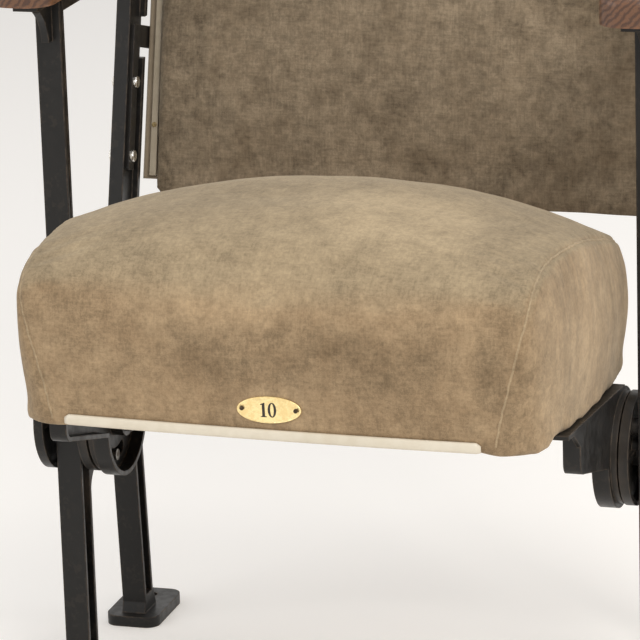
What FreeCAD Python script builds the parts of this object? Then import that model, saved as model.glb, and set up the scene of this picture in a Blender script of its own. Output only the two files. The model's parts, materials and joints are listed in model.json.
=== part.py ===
"""Tip up auditorium seat: one place of a fixed row, on two cast iron standards.

Millimetres. X is across the seat, the sitter faces -Y, Z is up.
Every shape is drawn with Y = 0 on the front face of the front posts and Z = 0
on the hinge axis. place() then moves it to the part's own frame, whose origin
is on the floor under the middle of the whole part.
"""
import FreeCAD, Part
import math
import os

from FreeCAD import Vector

# Row and heights
PITCH = 520.0                 # from the middle of one standard to the next
HINGE_HEIGHT = 240.0          # hinge axis above the floor
ORIGIN_Y = 41.02              # middle of the part's depth, from the posts' front face

# Standards
SECTION_WIDTH = 22.0          # across X, all flanges
WEB = 7.0
FLANGE = 3.5
POST_DEPTH_LOW = 23.0
POST_DEPTH_HIGH = 10.0
POST_TAPER_Z = (40.0, 95.0)   # the front post thins between these heights
LEG_FRONT_FOOT_Y = 153.5      # front face of the rear leg at the floor
KINK = (129.0, 88.0)          # Y and Z where the rear leg's front face becomes the upright's
LEG_DEPTH = 22.0
BACK_LEAN = 15.0              # degrees, the uprights and the back
UPRIGHT_BAR_WIDTH = 13.0
UPRIGHT_BAR_DEPTH = 26.0
UPRIGHT_FLANGE_WIDTH = 24.0
UPRIGHT_FLANGE = 6.0
UPRIGHT_BLOCK_TOP_Z = 152.0   # the upright's side recess ends here
UPRIGHT_TOP_Z = 592.0
CROSS_TOP_Z = 36.0
CROSS_BOTTOM_Z = -48.0
ARCH_RADIUS = 24.0
FOOT_THICKNESS = 10.0
FOOT_WIDTH = 50.0
FRONT_FOOT_Y = (-14.0, 66.0)
REAR_FOOT_Y = (138.0, 218.0)
FOOT_HOLE_Y = (48.0, 200.0)
FOOT_HOLE_RADIUS = 5.5
FOOT_CORNER = 12.0
FOOT_RIB_TOP = 26.0           # height of the block that spreads a leg into its foot
ARM_BAR_TOP_Z = 385.0
ARM_BAR_THICKNESS = 8.0
ARM_BAR_FRONT_Y = -52.0
ARM_STEM_DEPTH = 24.0
ARM_NOSE_SCOOP = 40.0

# Hinge
HINGE_Y = 28.6
PIN_RADIUS = 8.0
RUNNING_CLEARANCE = 0.05
PIN_HEAD_RADIUS = 13.0
PIN_HEAD = 6.0
PIN_END_PLAY = 0.4
PIN_GAP = 0.5                 # from each pin's end to the middle of the standard
CROSS_PIN_RADIUS = 2.0
WASHER_THICKNESS = 1.0
WASHER_RADIUS = 15.0
BUSH_RADIUS = 11.0
HUB_RADIUS = 49.0
HUB_RIM = 4.0
HUB_PLATE = 3.5
HUB_INNER_X = 236.0           # face of the hub towards the seat
HUB_RIM_X = 244.5
HUB_BOSS_RADIUS = 15.0
HUB_RIVET_BOSS_RADIUS = 7.5
HUB_RIB = 5.0
STANDARD_BOSS_RADIUS = 20.0
STANDARD_BORE_RADIUS = 9.5     # cored clear of the pins, which the hubs' bosses hold
RIVET_RADIUS = 4.0
RIVET_CIRCLE = 30.0
RIVET_ANGLES = (125.0, 305.0)
PEG_RADIUS = 5.0
PEG_CLEARANCE = 0.4
PEG_CIRCLE = 34.0
TIP_RANGE = 42.0              # degrees from down to up
PEG_ANGLE = 270.0 - TIP_RANGE / 2.0

# Seat arms
ARM_OUTER_X = 229.0
ARM_INNER_X = 214.0
ARM_PLATE = 3.5
ARM_RIM = 4.0
ARM_DRUM_RADIUS = 52.0
ARM_DISC_RADIUS = 48.0
ARM_DISC_X = 234.5
ARM_FRONT_Y = -125.0
ARM_FRONT_BOTTOM_Z = 24.0
ARM_REAR_Y = 40.0
ARM_BOSS_RADIUS = 17.0
ARM_CORNER = 11.0
PAD_PLATE_INNER_X = 184.0     # top flange of the arm, under the seat board
PAD_PLATE_Y = (-166.0, 40.0)
PAD_PLATE = 4.0
ARM_SCREW_X = 195.0
ARM_SCREW_Y = (-140.0, -56.0, 28.0)
ARM_SCREW_RADIUS = 2.4
ARM_SCREW_HEAD_RADIUS = 5.0
ARM_SCREW_HEAD = 3.0

# Seat
BASE_FRONT_Z = 77.0           # underside of the seat at its front
BASE_SLOPE = -0.092           # the seat falls towards the back
SEAT_FRONT_Y = -233.0
SEAT_REAR_Y = 143.0
BOARD_THICKNESS = 12.0
BOARD_HALF = 203.0
BOARD_Y = (-221.0, 124.0)
BOARD_CORNER = 28.0
SHOULDER_RADIUS = 30.0
CAVITY_HALF = 176.0
CAVITY_Y = (-184.0, 90.0)
CAVITY_HEIGHT = 92.0
TRIM_LENGTH = 348.0
TRIM_HEIGHT = 9.0
TRIM_THICKNESS = 3.0
TRIM_CORNER = 3.5
PLATE_LENGTH = 54.0
PLATE_HEIGHT = 22.5
PLATE_THICKNESS = 1.2
PLATE_CENTRE_Z = 100.5
PLATE_PIN_X = 22.5
PLATE_PIN_RADIUS = 0.8
PLATE_PIN_HEAD_RADIUS = 1.8
PLATE_PIN_HEAD = 0.8
SPRING_WIRE_RADIUS = 1.6
SPRING_RADIUS = 34.0
SPRING_TURNS = 5
SPRING_HEIGHT = 84.0
SPRING_X = (-120.0, 0.0, 120.0)
SPRING_Y = (-140.0, -48.0, 44.0)

# Back, in its own leaning frame: n is rearwards from the shell's front, s is up
BACK_REF_Y = 197.0
BACK_REF_Z = 175.0
SHELL_HALF = 250.0
SHELL_THICKNESS = 8.0
SHELL_S = (-4.0, 440.0)
SHELL_CORNER = 26.0
SHELL_EDGE = 2.5
PAD_HALF = 234.0
PAD_S = (-22.0, 426.0)
PAD_BOARD = 4.0
PAD_BOARD_HALF = 226.0
PAD_BOARD_S = (-15.0, 419.0)
BEAD_INNER = 236.0
BEAD_WIDTH = 6.0
BEAD_HEIGHT = 5.0
BEAD_CORNER = 16.0
NAIL_RADIUS = 2.2
NAIL_HEAD = 1.2
NAIL_S = (45.0, 165.0, 285.0, 400.0)
NAIL_X = (-170.0, -57.0, 57.0, 170.0)
STRAP = 3.0
STRAP_WIDTH = 14.0
STRAP_Z = (186.0, 312.0)
STRAP_REACH_X = 206.0
STRAP_BOLT_Z = (198.0, 262.0)
STRAP_BOLT_RADIUS = 3.0
STRAP_BOLT_HEAD_RADIUS = 5.5
STRAP_BOLT_HEAD = 3.5
NUT_CORNERS = 11.5
NUT_HEIGHT = 4.0
STRAP_SCREW_X = (238.0, 218.0)
STRAP_SCREW_RADIUS = 2.2
STRAP_SCREW_HEAD_RADIUS = 4.5
STRAP_SCREW_HEAD = 2.4
STRAP_SCREW_COVER = 1.5       # shell left in front of each screw's point

# Armrests
REST_WIDTH = 55.0
REST_THICKNESS = 25.0
REST_Y = (-76.0, 199.0)
REST_SCREW_Y = (-30.0, 130.0)
REST_SCREW_RADIUS = 2.5
REST_SCREW_HEAD_RADIUS = 4.5
REST_SCREW_HEAD = 3.0
REST_SCREW_RISE = 16.0
REST_NOSE_CORNER = 22.0
REST_EDGE = 8.0

HALF_PITCH = PITCH / 2.0
TAN_LEAN = math.tan(math.radians(BACK_LEAN))


def prism(points, x0, x1):
    """Solid of a YZ outline, given as (y, z) points, from X = x0 to x1."""
    corners = [Vector(x0, y, z) for y, z in points]
    wire = Part.makePolygon(corners + corners[:1])
    return Part.Face(wire).extrude(Vector(x1 - x0, 0, 0))


def block(x, y, z):
    """Box between two X, two Y and two Z values."""
    return Part.makeBox(x[1] - x[0], y[1] - y[0], z[1] - z[0], Vector(x[0], y[0], z[0]))


def rod_x(x0, x1, radius, y=HINGE_Y, z=0.0):
    """Cylinder along X, on the hinge axis unless told otherwise."""
    return Part.makeCylinder(radius, x1 - x0, Vector(x0, y, z), Vector(1, 0, 0))


def rod_z(x, y, z0, z1, radius):
    """Vertical cylinder."""
    return Part.makeCylinder(radius, z1 - z0, Vector(x, y, z0), Vector(0, 0, 1))


def fuse(shapes):
    """One clean solid from several that overlap."""
    whole = shapes[0].multiFuse(shapes[1:])
    return whole.removeSplitter()


def mirrored(shape):
    """The same shape on the other side of the seat."""
    return shape.mirror(Vector(0, 0, 0), Vector(1, 0, 0))


def polar(radius, angle):
    """Y and Z at an angle round the hinge, counted from the rear, up over the top."""
    turn = math.radians(angle)
    return HINGE_Y + radius * math.cos(turn), radius * math.sin(turn)


def base_z(y):
    """Height of the seat's underside."""
    return BASE_FRONT_Z + BASE_SLOPE * (y - SEAT_FRONT_Y)


def upright_y(z):
    """Front face of the leaning upright."""
    return KINK[0] + (z - KINK[1]) * TAN_LEAN


def leg_y(z):
    """Front face of the rear leg below the kink."""
    part = (KINK[1] - z) / (KINK[1] + HINGE_HEIGHT)
    return KINK[0] + part * (LEG_FRONT_FOOT_Y - KINK[0])


def i_bar(lower, upper, depth_low, depth_high, z_low, z_high):
    """Flanged bar whose front face runs from one Y to another between two heights."""
    x = HALF_PITCH
    half = SECTION_WIDTH / 2.0
    web = prism([(lower, z_low), (lower + depth_low, z_low), (upper + depth_high, z_high), (upper, z_high)],
                x - WEB / 2.0, x + WEB / 2.0)
    front = prism([(lower, z_low), (lower + FLANGE, z_low), (upper + FLANGE, z_high), (upper, z_high)],
                  x - half, x + half)
    rear = prism([(lower + depth_low - FLANGE, z_low), (lower + depth_low, z_low),
                  (upper + depth_high, z_high), (upper + depth_high - FLANGE, z_high)], x - half, x + half)
    return [web, front, rear]


def standard_upright():
    """Leaning upright above the seat: a bar with a wide rear flange."""
    x = HALF_PITCH
    low, block_top, top = KINK[1], UPRIGHT_BLOCK_TOP_Z, UPRIGHT_TOP_Z
    whole = UPRIGHT_BAR_DEPTH + UPRIGHT_FLANGE
    y = upright_y
    bar = prism([(y(low), low), (y(low) + whole, low), (y(top) + whole, top), (y(top), top)],
                x - UPRIGHT_BAR_WIDTH / 2.0, x + UPRIGHT_BAR_WIDTH / 2.0)
    flange = prism([(y(low) + UPRIGHT_BAR_DEPTH, low), (y(low) + whole, low),
                    (y(top) + whole, top), (y(top) + UPRIGHT_BAR_DEPTH, top)],
                   x - UPRIGHT_FLANGE_WIDTH / 2.0, x + UPRIGHT_FLANGE_WIDTH / 2.0)
    half = SECTION_WIDTH / 2.0
    wide = prism([(y(low), low), (y(low) + whole - 2, low), (y(block_top) + whole - 2, block_top),
                  (y(block_top), block_top)], x - half, x + half)
    return [bar, flange, wide]


def standard_cross():
    """Web and flanged lower edge that join the front post and the rear leg."""
    x = HALF_PITCH
    rear_low = leg_y(CROSS_BOTTOM_Z) + 2
    rear_high = leg_y(CROSS_TOP_Z) + 2
    outer = [(POST_DEPTH_LOW - 2, CROSS_BOTTOM_Z), (rear_low, CROSS_BOTTOM_Z),
             (rear_high, CROSS_TOP_Z), (POST_DEPTH_LOW - 2, CROSS_TOP_Z)]
    plate = prism(outer, x - WEB / 2.0, x + WEB / 2.0)
    half = SECTION_WIDTH / 2.0
    lower = prism([(POST_DEPTH_LOW - 2, CROSS_BOTTOM_Z), (rear_low, CROSS_BOTTOM_Z),
                   (rear_low, CROSS_BOTTOM_Z + FLANGE), (POST_DEPTH_LOW - 2, CROSS_BOTTOM_Z + FLANGE)],
                  x - half, x + half)
    upper = prism([(POST_DEPTH_LOW - 2, CROSS_TOP_Z - FLANGE), (rear_high, CROSS_TOP_Z - FLANGE),
                   (rear_high, CROSS_TOP_Z), (POST_DEPTH_LOW - 2, CROSS_TOP_Z)], x - half, x + half)
    corners = []
    for y, side in ((POST_DEPTH_LOW - 0.5, 1), (leg_y(CROSS_BOTTOM_Z - ARCH_RADIUS) + 0.5, -1)):
        z = CROSS_BOTTOM_Z + 0.5
        square = block((x - half, x + half), sorted((y, y + side * ARCH_RADIUS)), (z - ARCH_RADIUS, z))
        scoop = rod_x(x - half - 1, x + half + 1, ARCH_RADIUS, y + side * ARCH_RADIUS, z - ARCH_RADIUS)
        corners.append(square.cut(scoop))
    return [plate, lower, upper] + corners


def standard_foot(y, leg_y_range):
    """Flat foot with a stiffening web along it."""
    x = HALF_PITCH
    floor = -HINGE_HEIGHT
    plate = block((x - FOOT_WIDTH / 2.0, x + FOOT_WIDTH / 2.0), y, (floor, floor + FOOT_THICKNESS))
    edges = [e for e in plate.Edges if abs(e.Vertexes[0].Z - e.Vertexes[1].Z) > 1]
    plate = plate.makeFillet(FOOT_CORNER, edges)
    half = SECTION_WIDTH / 2.0
    rib = prism([(leg_y_range[0] - 8, floor + 2), (leg_y_range[1] + 8, floor + 2),
                 (leg_y_range[1] - 1, floor + FOOT_RIB_TOP), (leg_y_range[0] + 1, floor + FOOT_RIB_TOP)],
                x - half, x + half)
    return [plate, rib]


def standard_arm_bar():
    """Top bar that carries the armrest, with a curved bracket under its nose."""
    x = HALF_PITCH
    half = SECTION_WIDTH / 2.0
    top = ARM_BAR_TOP_Z
    rear = upright_y(top) + 6
    bar = block((x - half, x + half), (ARM_BAR_FRONT_Y, rear), (top - ARM_BAR_THICKNESS, top))
    stem = block((x - WEB / 2.0, x + WEB / 2.0), (0.0, rear), (top - ARM_STEM_DEPTH, top - 2))
    nose = block((x - WEB / 2.0, x + WEB / 2.0), (ARM_BAR_FRONT_Y + 8, 4.0), (top - 44, top - 4))
    scoop = rod_x(x - half, x + half, ARM_NOSE_SCOOP, ARM_BAR_FRONT_Y + 4, top - ARM_BAR_THICKNESS - ARM_NOSE_SCOOP)
    return [bar, stem, nose.cut(scoop)]


def standard():
    """Right cast iron standard, one solid, with its holes."""
    x = HALF_PITCH
    floor = -HINGE_HEIGHT
    z_thin, z_slim = POST_TAPER_Z
    shapes = i_bar(0.0, 0.0, POST_DEPTH_LOW, POST_DEPTH_LOW, floor, z_thin)
    shapes += i_bar(0.0, 0.0, POST_DEPTH_LOW, POST_DEPTH_HIGH, z_thin, z_slim)
    shapes += i_bar(0.0, 0.0, POST_DEPTH_HIGH, POST_DEPTH_HIGH, z_slim, ARM_BAR_TOP_Z - 1)
    shapes += i_bar(LEG_FRONT_FOOT_Y, KINK[0], LEG_DEPTH, LEG_DEPTH, floor, KINK[1])
    shapes += standard_upright() + standard_cross() + standard_arm_bar()
    shapes += standard_foot(FRONT_FOOT_Y, (0.0, POST_DEPTH_LOW))
    shapes += standard_foot(REAR_FOOT_Y, (LEG_FRONT_FOOT_Y, LEG_FRONT_FOOT_Y + LEG_DEPTH))
    half = SECTION_WIDTH / 2.0
    shapes.append(rod_x(x - half, x + half, STANDARD_BOSS_RADIUS))
    body = fuse(shapes)
    holes = [rod_x(x - half - 1, x + half + 1, STANDARD_BORE_RADIUS)]
    for angle in RIVET_ANGLES:
        y, z = polar(RIVET_CIRCLE, angle)
        holes.append(rod_x(x - half - 1, x + half + 1, RIVET_RADIUS, y, z))
    for y in FOOT_HOLE_Y:
        holes.append(rod_z(x, y, floor - 1, floor + 40, FOOT_HOLE_RADIUS))
    for y in REST_SCREW_Y:
        holes.append(rod_z(x, y, ARM_BAR_TOP_Z - 60, ARM_BAR_TOP_Z + 1, REST_SCREW_RADIUS))
        holes.append(rod_z(x, y, ARM_BAR_TOP_Z - 60, rest_screw_seat(y), REST_SCREW_HEAD_RADIUS + 0.3))
    for z in STRAP_BOLT_Z:
        y = upright_y(z) + UPRIGHT_BAR_DEPTH / 2.0
        holes.append(rod_x(x - half - 1, x + half + 1, STRAP_BOLT_RADIUS, y, z))
    return body.cut(Part.makeCompound(holes + strap_notches()))


def strap_notches():
    """Cast gaps in the rear flange where the back straps pass, on both sides of the bar."""
    x = HALF_PITCH
    z_low, z_high = STRAP_Z[1] - 32.0, STRAP_Z[1] + 4.0
    y0, y1 = upright_y(z_low) - 30, upright_y(z_high) + 60
    side = UPRIGHT_BAR_WIDTH / 2.0
    reach = UPRIGHT_FLANGE_WIDTH / 2.0 + 1
    return [block((x - reach, x - side), (y0, y1), (z_low, z_high)),
            block((x + side, x + reach), (y0, y1), (z_low, z_high))]


def hub(towards_seat):
    """Cup casting on one side of the standard, hollow towards the standard."""
    x_plate = HUB_INNER_X
    x_inner = HUB_INNER_X + HUB_PLATE
    x_boss = HALF_PITCH - SECTION_WIDTH / 2.0
    cup = rod_x(x_plate, HUB_RIM_X, HUB_RADIUS).cut(rod_x(x_inner, HUB_RIM_X + 1, HUB_RADIUS - HUB_RIM))
    boss = rod_x(x_plate, x_boss, HUB_BOSS_RADIUS)
    ribs = []
    for angle in RIVET_ANGLES:
        y, z = polar(RIVET_CIRCLE, angle)
        ribs.append(rod_x(x_plate, x_boss, HUB_RIVET_BOSS_RADIUS, y, z))
    rib = block((x_inner - 1, HUB_RIM_X - 1), (HINGE_Y - HUB_RADIUS + 1, HINGE_Y + HUB_RADIUS - 1),
                (-HUB_RIB / 2.0, HUB_RIB / 2.0))
    body = fuse([cup, boss, rib] + ribs)
    holes = [rod_x(x_plate - 1, x_boss + 1, PIN_RADIUS + RUNNING_CLEARANCE)]
    for angle in RIVET_ANGLES:
        y, z = polar(RIVET_CIRCLE, angle)
        holes.append(rod_x(x_plate - 1, x_boss + 1, RIVET_RADIUS, y, z))
    if towards_seat:
        y, z = polar(PEG_CIRCLE, PEG_ANGLE)
        holes.append(rod_x(x_plate - 1, x_boss + 1, PEG_RADIUS, y, z))
        holes.append(taper_pin())
    body = body.cut(Part.makeCompound(holes))
    if not towards_seat:
        body = body.mirror(Vector(HALF_PITCH, 0, 0), Vector(1, 0, 0))
    return body


def taper_pin():
    """Cross pin that locks the pivot pin in the hub's boss."""
    x = (HUB_INNER_X + HUB_PLATE + HALF_PITCH - SECTION_WIDTH / 2.0) / 2.0
    return rod_z(x, HINGE_Y, -HUB_BOSS_RADIUS - 3.0, HUB_BOSS_RADIUS + 3.0, CROSS_PIN_RADIUS)


def pivot_pin():
    """Pin the arm turns on, with a domed head on the seat side."""
    x_head = ARM_INNER_X - PIN_END_PLAY
    x_face = x_head - PIN_HEAD
    shank = rod_x(x_head - 1, HALF_PITCH - PIN_GAP, PIN_RADIUS)
    head = rod_x(x_face, x_head, PIN_HEAD_RADIUS)
    head = head.makeFillet(PIN_HEAD / 2.0, [e for e in head.Edges if abs(e.BoundBox.XMin - x_face) < 0.01
                                            and e.BoundBox.XLength < 0.01])
    return shank.fuse(head).removeSplitter().cut(taper_pin())


def bush():
    """Bronze bush pressed into the arm."""
    return rod_x(ARM_INNER_X, ARM_DISC_X, BUSH_RADIUS).cut(
        rod_x(ARM_INNER_X - 1, ARM_DISC_X + 1, PIN_RADIUS + RUNNING_CLEARANCE))


def thrust_washer():
    """Steel washer between the arm and the hub."""
    middle = (ARM_DISC_X + HUB_INNER_X) / 2.0
    half = WASHER_THICKNESS / 2.0
    return rod_x(middle - half, middle + half, WASHER_RADIUS).cut(rod_x(middle - 1, middle + 1, PIN_RADIUS + 0.3))


def hub_rivets():
    """Two flush rivets that hold both cups to the standard."""
    outer_x = 2 * HALF_PITCH - HUB_INNER_X
    return [rod_x(HUB_INNER_X, outer_x, RIVET_RADIUS, *polar(RIVET_CIRCLE, a)) for a in RIVET_ANGLES]


def stop_peg():
    """Peg of the hub that works in the arm's slot and stops the seat both ways."""
    y, z = polar(PEG_CIRCLE, PEG_ANGLE)
    return rod_x(ARM_OUTER_X - ARM_PLATE - 5.0, HUB_INNER_X + HUB_PLATE, PEG_RADIUS, y, z)


def arm_outline():
    """Face of the arm's outline in the YZ plane at its inner edge."""
    x = ARM_INNER_X
    corner = ARM_CORNER
    y0, z0 = ARM_FRONT_Y, ARM_FRONT_BOTTOM_Z
    drum_front = polar(ARM_DRUM_RADIUS - 1, 184.0)
    points = [Vector(x, y0, base_z(y0)), Vector(x, y0, z0 + corner)]
    low = Vector(x, y0 + corner, z0 - 2.0)
    turn = Vector(x, y0 + corner * 0.26, z0 + corner * 0.2)
    front_arc = Part.Arc(points[1], turn, low).toShape()
    path = [low, Vector(x, *drum_front), Vector(x, HINGE_Y, -4), Vector(x, HINGE_Y + 40, -4),
            Vector(x, ARM_REAR_Y, 22), Vector(x, ARM_REAR_Y, base_z(ARM_REAR_Y)), points[0]]
    edges = [Part.makeLine(points[0], points[1]), front_arc]
    edges += [Part.makeLine(a, b) for a, b in zip(path[:-1], path[1:])]
    plate = Part.Face(Part.Wire(edges))
    drum = Part.Face(Part.Wire(Part.makeCircle(ARM_DRUM_RADIUS, Vector(x, HINGE_Y, 0), Vector(1, 0, 0))))
    return plate.fuse(drum).removeSplitter().Faces[0]


def peg_slot():
    """Arc slot round the hinge for the stop peg."""
    r = PEG_CIRCLE
    half = PEG_RADIUS + PEG_CLEARANCE
    x0, x1 = ARM_INNER_X - 1, ARM_DISC_X + 1
    ring = rod_x(x0, x1, r + half).cut(rod_x(x0 - 1, x1 + 1, r - half))
    first, last = PEG_ANGLE, PEG_ANGLE + TIP_RANGE
    reach = 3.0 * r
    wedge = prism([(HINGE_Y, 0.0), polar(reach, first), polar(reach, (first + last) / 2.0), polar(reach, last)],
                  x0, x1)
    ends = [rod_x(x0, x1, half, *polar(r, a)) for a in (first, last)]
    return fuse([ring.common(wedge)] + ends)


def seat_arm():
    """Dished casting that carries one side of the seat and turns on the pin."""
    face = arm_outline()
    depth = ARM_OUTER_X - ARM_INNER_X
    inner = Part.Face(face.OuterWire.makeOffset2D(-ARM_RIM))
    rim = face.extrude(Vector(depth, 0, 0)).cut(inner.extrude(Vector(depth - ARM_PLATE, 0, 0)))
    boss = rod_x(ARM_INNER_X, ARM_OUTER_X, ARM_BOSS_RADIUS)
    disc = rod_x(ARM_OUTER_X - 0.5, ARM_DISC_X, ARM_DISC_RADIUS)
    y0, y1 = PAD_PLATE_Y
    top = prism([(y0, base_z(y0) - PAD_PLATE), (y1, base_z(y1) - PAD_PLATE), (y1, base_z(y1)), (y0, base_z(y0))],
                PAD_PLATE_INNER_X, ARM_OUTER_X)
    gusset = prism([(ARM_FRONT_Y - 26, base_z(ARM_FRONT_Y - 26) - 2), (ARM_FRONT_Y + 2, base_z(ARM_FRONT_Y) - 2),
                    (ARM_FRONT_Y + 2, base_z(ARM_FRONT_Y) - 20)], ARM_OUTER_X - ARM_PLATE, ARM_OUTER_X)
    body = fuse([rim, boss, disc, top, gusset])
    holes = [rod_x(ARM_INNER_X - 1, ARM_DISC_X + 1, BUSH_RADIUS), peg_slot()]
    body = body.cut(Part.makeCompound(holes))
    return body.cut(Part.makeCompound(arm_screws()))


def arm_screws():
    """Three pan head screws up through the arm's flange into the seat board."""
    screws = []
    tilt = math.atan(BASE_SLOPE)
    up = Vector(0, -math.sin(tilt), math.cos(tilt))
    for y in ARM_SCREW_Y:
        under = Vector(ARM_SCREW_X, y, base_z(y)) - up * (PAD_PLATE * math.cos(tilt))
        head = Part.makeCylinder(ARM_SCREW_HEAD_RADIUS, ARM_SCREW_HEAD, under - up * ARM_SCREW_HEAD, up)
        shank = Part.makeCylinder(ARM_SCREW_RADIUS, PAD_PLATE + BOARD_THICKNESS - 2.0, under, up)
        screws.append(head.fuse(shank).removeSplitter())
    return screws


def rounded_slab(half, y, corner, lift, thickness):
    """Flat board of the seat with rounded corners, lying on the seat's sloping base."""
    flat = block((-half, half), y, (-200.0, 400.0))
    flat = flat.makeFillet(corner, [e for e in flat.Edges if abs(e.Vertexes[0].Z - e.Vertexes[1].Z) > 1])
    low = SEAT_FRONT_Y - 30, SEAT_REAR_Y + 30
    layer = prism([(low[0], base_z(low[0]) + lift), (low[1], base_z(low[1]) + lift),
                   (low[1], base_z(low[1]) + lift + thickness), (low[0], base_z(low[0]) + lift + thickness)],
                  -300.0, 300.0)
    return flat.common(layer)


def seat_board():
    """Plywood base with the holes its screws fill."""
    board = rounded_slab(BOARD_HALF, BOARD_Y, BOARD_CORNER, 0.0, BOARD_THICKNESS)
    screws = arm_screws()
    return board.cut(Part.makeCompound(screws + [mirrored(s) for s in screws]))


def cushion_section(y, half_low, half_high, top_side, crown):
    """Closed XZ wire of the cushion: flat below, full sides, rounded shoulders, crowned top.

    half_low and half_high are the half widths at the bottom and at the shoulder,
    top_side the height where the shoulder ends, crown the height in the middle.
    """
    z0 = base_z(y)
    shoulder = SHOULDER_RADIUS
    x_in = half_high - shoulder
    z_side = top_side - shoulder
    low = Vector(half_low, y, z0)
    side = Vector(half_high, y, z_side)
    bulge = Vector((half_low + half_high) / 2.0 + 4.0, y, (z0 + z_side) / 2.0)
    turn = math.sqrt(0.5)
    shoulder_mid = Vector(x_in + shoulder * turn, y, z_side + shoulder * turn)
    inner = Vector(x_in, y, top_side)
    edges = [Part.makeLine(Vector(-half_low, y, z0), low),
             Part.Arc(low, bulge, side).toShape(),
             Part.Arc(side, shoulder_mid, inner).toShape(),
             Part.Arc(inner, Vector(0, y, crown), Vector(-inner.x, y, top_side)).toShape(),
             Part.Arc(Vector(-inner.x, y, top_side), Vector(-shoulder_mid.x, y, shoulder_mid.z),
                      Vector(-side.x, y, side.z)).toShape(),
             Part.Arc(Vector(-side.x, y, side.z), Vector(-bulge.x, y, bulge.z), Vector(-half_low, y, z0)).toShape()]
    return Part.Wire(edges)


def cushion():
    """Sprung seat cushion: crowned, full sided, hollow for its springs and board."""
    sections = [
        cushion_section(SEAT_FRONT_Y, 190.0, 209.0, 196.0, 201.0),
        cushion_section(SEAT_FRONT_Y + 10, 207.0, 217.0, 207.0, 213.0),
        cushion_section(SEAT_FRONT_Y + 40, 217.0, 223.0, 219.0, 229.0),
        cushion_section(SEAT_FRONT_Y + 100, 220.0, 226.0, 222.0, 240.0),
        cushion_section(-60.0, 220.0, 227.0, 217.0, 240.0),
        cushion_section(20.0, 218.0, 227.0, 204.0, 224.0),
        cushion_section(90.0, 212.0, 222.0, 184.0, 200.0),
        cushion_section(SEAT_REAR_Y - 8, 198.0, 210.0, 164.0, 176.0),
        cushion_section(SEAT_REAR_Y, 185.0, 196.0, 151.0, 158.0),
    ]
    form = Part.makeLoft(sections, True, False)
    pocket = rounded_slab(BOARD_HALF, BOARD_Y, BOARD_CORNER, -20.0, 20.0 + BOARD_THICKNESS)
    cavity = rounded_slab(CAVITY_HALF, CAVITY_Y, BOARD_CORNER, BOARD_THICKNESS - 1.0, CAVITY_HEIGHT + 1.0)
    return form.cut(pocket).cut(cavity)


def spring(x, y):
    """One coil spring standing on the board: a single tube along a helix of arcs."""
    z0 = base_z(y) + BOARD_THICKNESS + 3.2
    rise = SPRING_HEIGHT - 2 * SPRING_WIRE_RADIUS
    steps = SPRING_TURNS * 4

    def point(step):
        angle = math.pi / 2.0 * step
        return Vector(x + SPRING_RADIUS * math.cos(angle), y + SPRING_RADIUS * math.sin(angle),
                      z0 + rise * step / steps)
    edges = [Part.Arc(point(k), point(k + 0.5), point(k + 1)).toShape() for k in range(steps)]
    path = Part.Wire(edges)
    start = point(0)
    tangent = edges[0].tangentAt(edges[0].FirstParameter)
    profile = Part.Wire(Part.makeCircle(SPRING_WIRE_RADIUS, start, tangent))
    return path.makePipeShell([profile], True, False)


def springs():
    """All the coil springs of the cushion."""
    first = spring(SPRING_X[0], SPRING_Y[0])
    copies = []
    for y in SPRING_Y:
        for x in SPRING_X:
            copy = first.copy()
            copy.translate(Vector(x - SPRING_X[0], y - SPRING_Y[0], base_z(y) - base_z(SPRING_Y[0])))
            copies.append(copy)
    return copies


def front_trim():
    """Rounded strip along the foot of the front panel."""
    half = TRIM_LENGTH / 2.0
    z0 = BASE_FRONT_Z - 1.0
    strip = block((-half, half), (SEAT_FRONT_Y - TRIM_THICKNESS, SEAT_FRONT_Y), (z0, z0 + TRIM_HEIGHT))
    ends = [e for e in strip.Edges if abs(e.Vertexes[0].Y - e.Vertexes[1].Y) > 1]
    return strip.makeFillet(TRIM_CORNER, ends)


def number_plate():
    """Oval plate on the front panel."""
    centre = Vector(0, SEAT_FRONT_Y, PLATE_CENTRE_Z)
    ellipse = Part.Ellipse(Vector(PLATE_LENGTH / 2.0, SEAT_FRONT_Y, PLATE_CENTRE_Z),
                           Vector(0, SEAT_FRONT_Y, PLATE_CENTRE_Z + PLATE_HEIGHT / 2.0), centre)
    plate = Part.Face(Part.Wire(ellipse.toShape())).extrude(Vector(0, -PLATE_THICKNESS, 0))
    return plate.cut(Part.makeCompound(plate_pins()))


def plate_pins():
    """Two small nails through the plate."""
    pins = []
    for x in (-PLATE_PIN_X, PLATE_PIN_X):
        front = SEAT_FRONT_Y - PLATE_THICKNESS
        shank = Part.makeCylinder(PLATE_PIN_RADIUS, PLATE_THICKNESS + 0.5, Vector(x, front - 0.5, PLATE_CENTRE_Z),
                                  Vector(0, 1, 0))
        head = Part.makeCylinder(PLATE_PIN_HEAD_RADIUS, PLATE_PIN_HEAD,
                                 Vector(x, front - PLATE_PIN_HEAD, PLATE_CENTRE_Z), Vector(0, 1, 0))
        pins.append(head.fuse(shank).removeSplitter())
    return pins


def lean(shape):
    """Puts a shape drawn in the back's frame (X, n, s) where the back stands."""
    turned = shape.copy()
    turned.rotate(Vector(0, 0, 0), Vector(1, 0, 0), -BACK_LEAN)
    turned.translate(Vector(0, BACK_REF_Y, BACK_REF_Z))
    return turned


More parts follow.
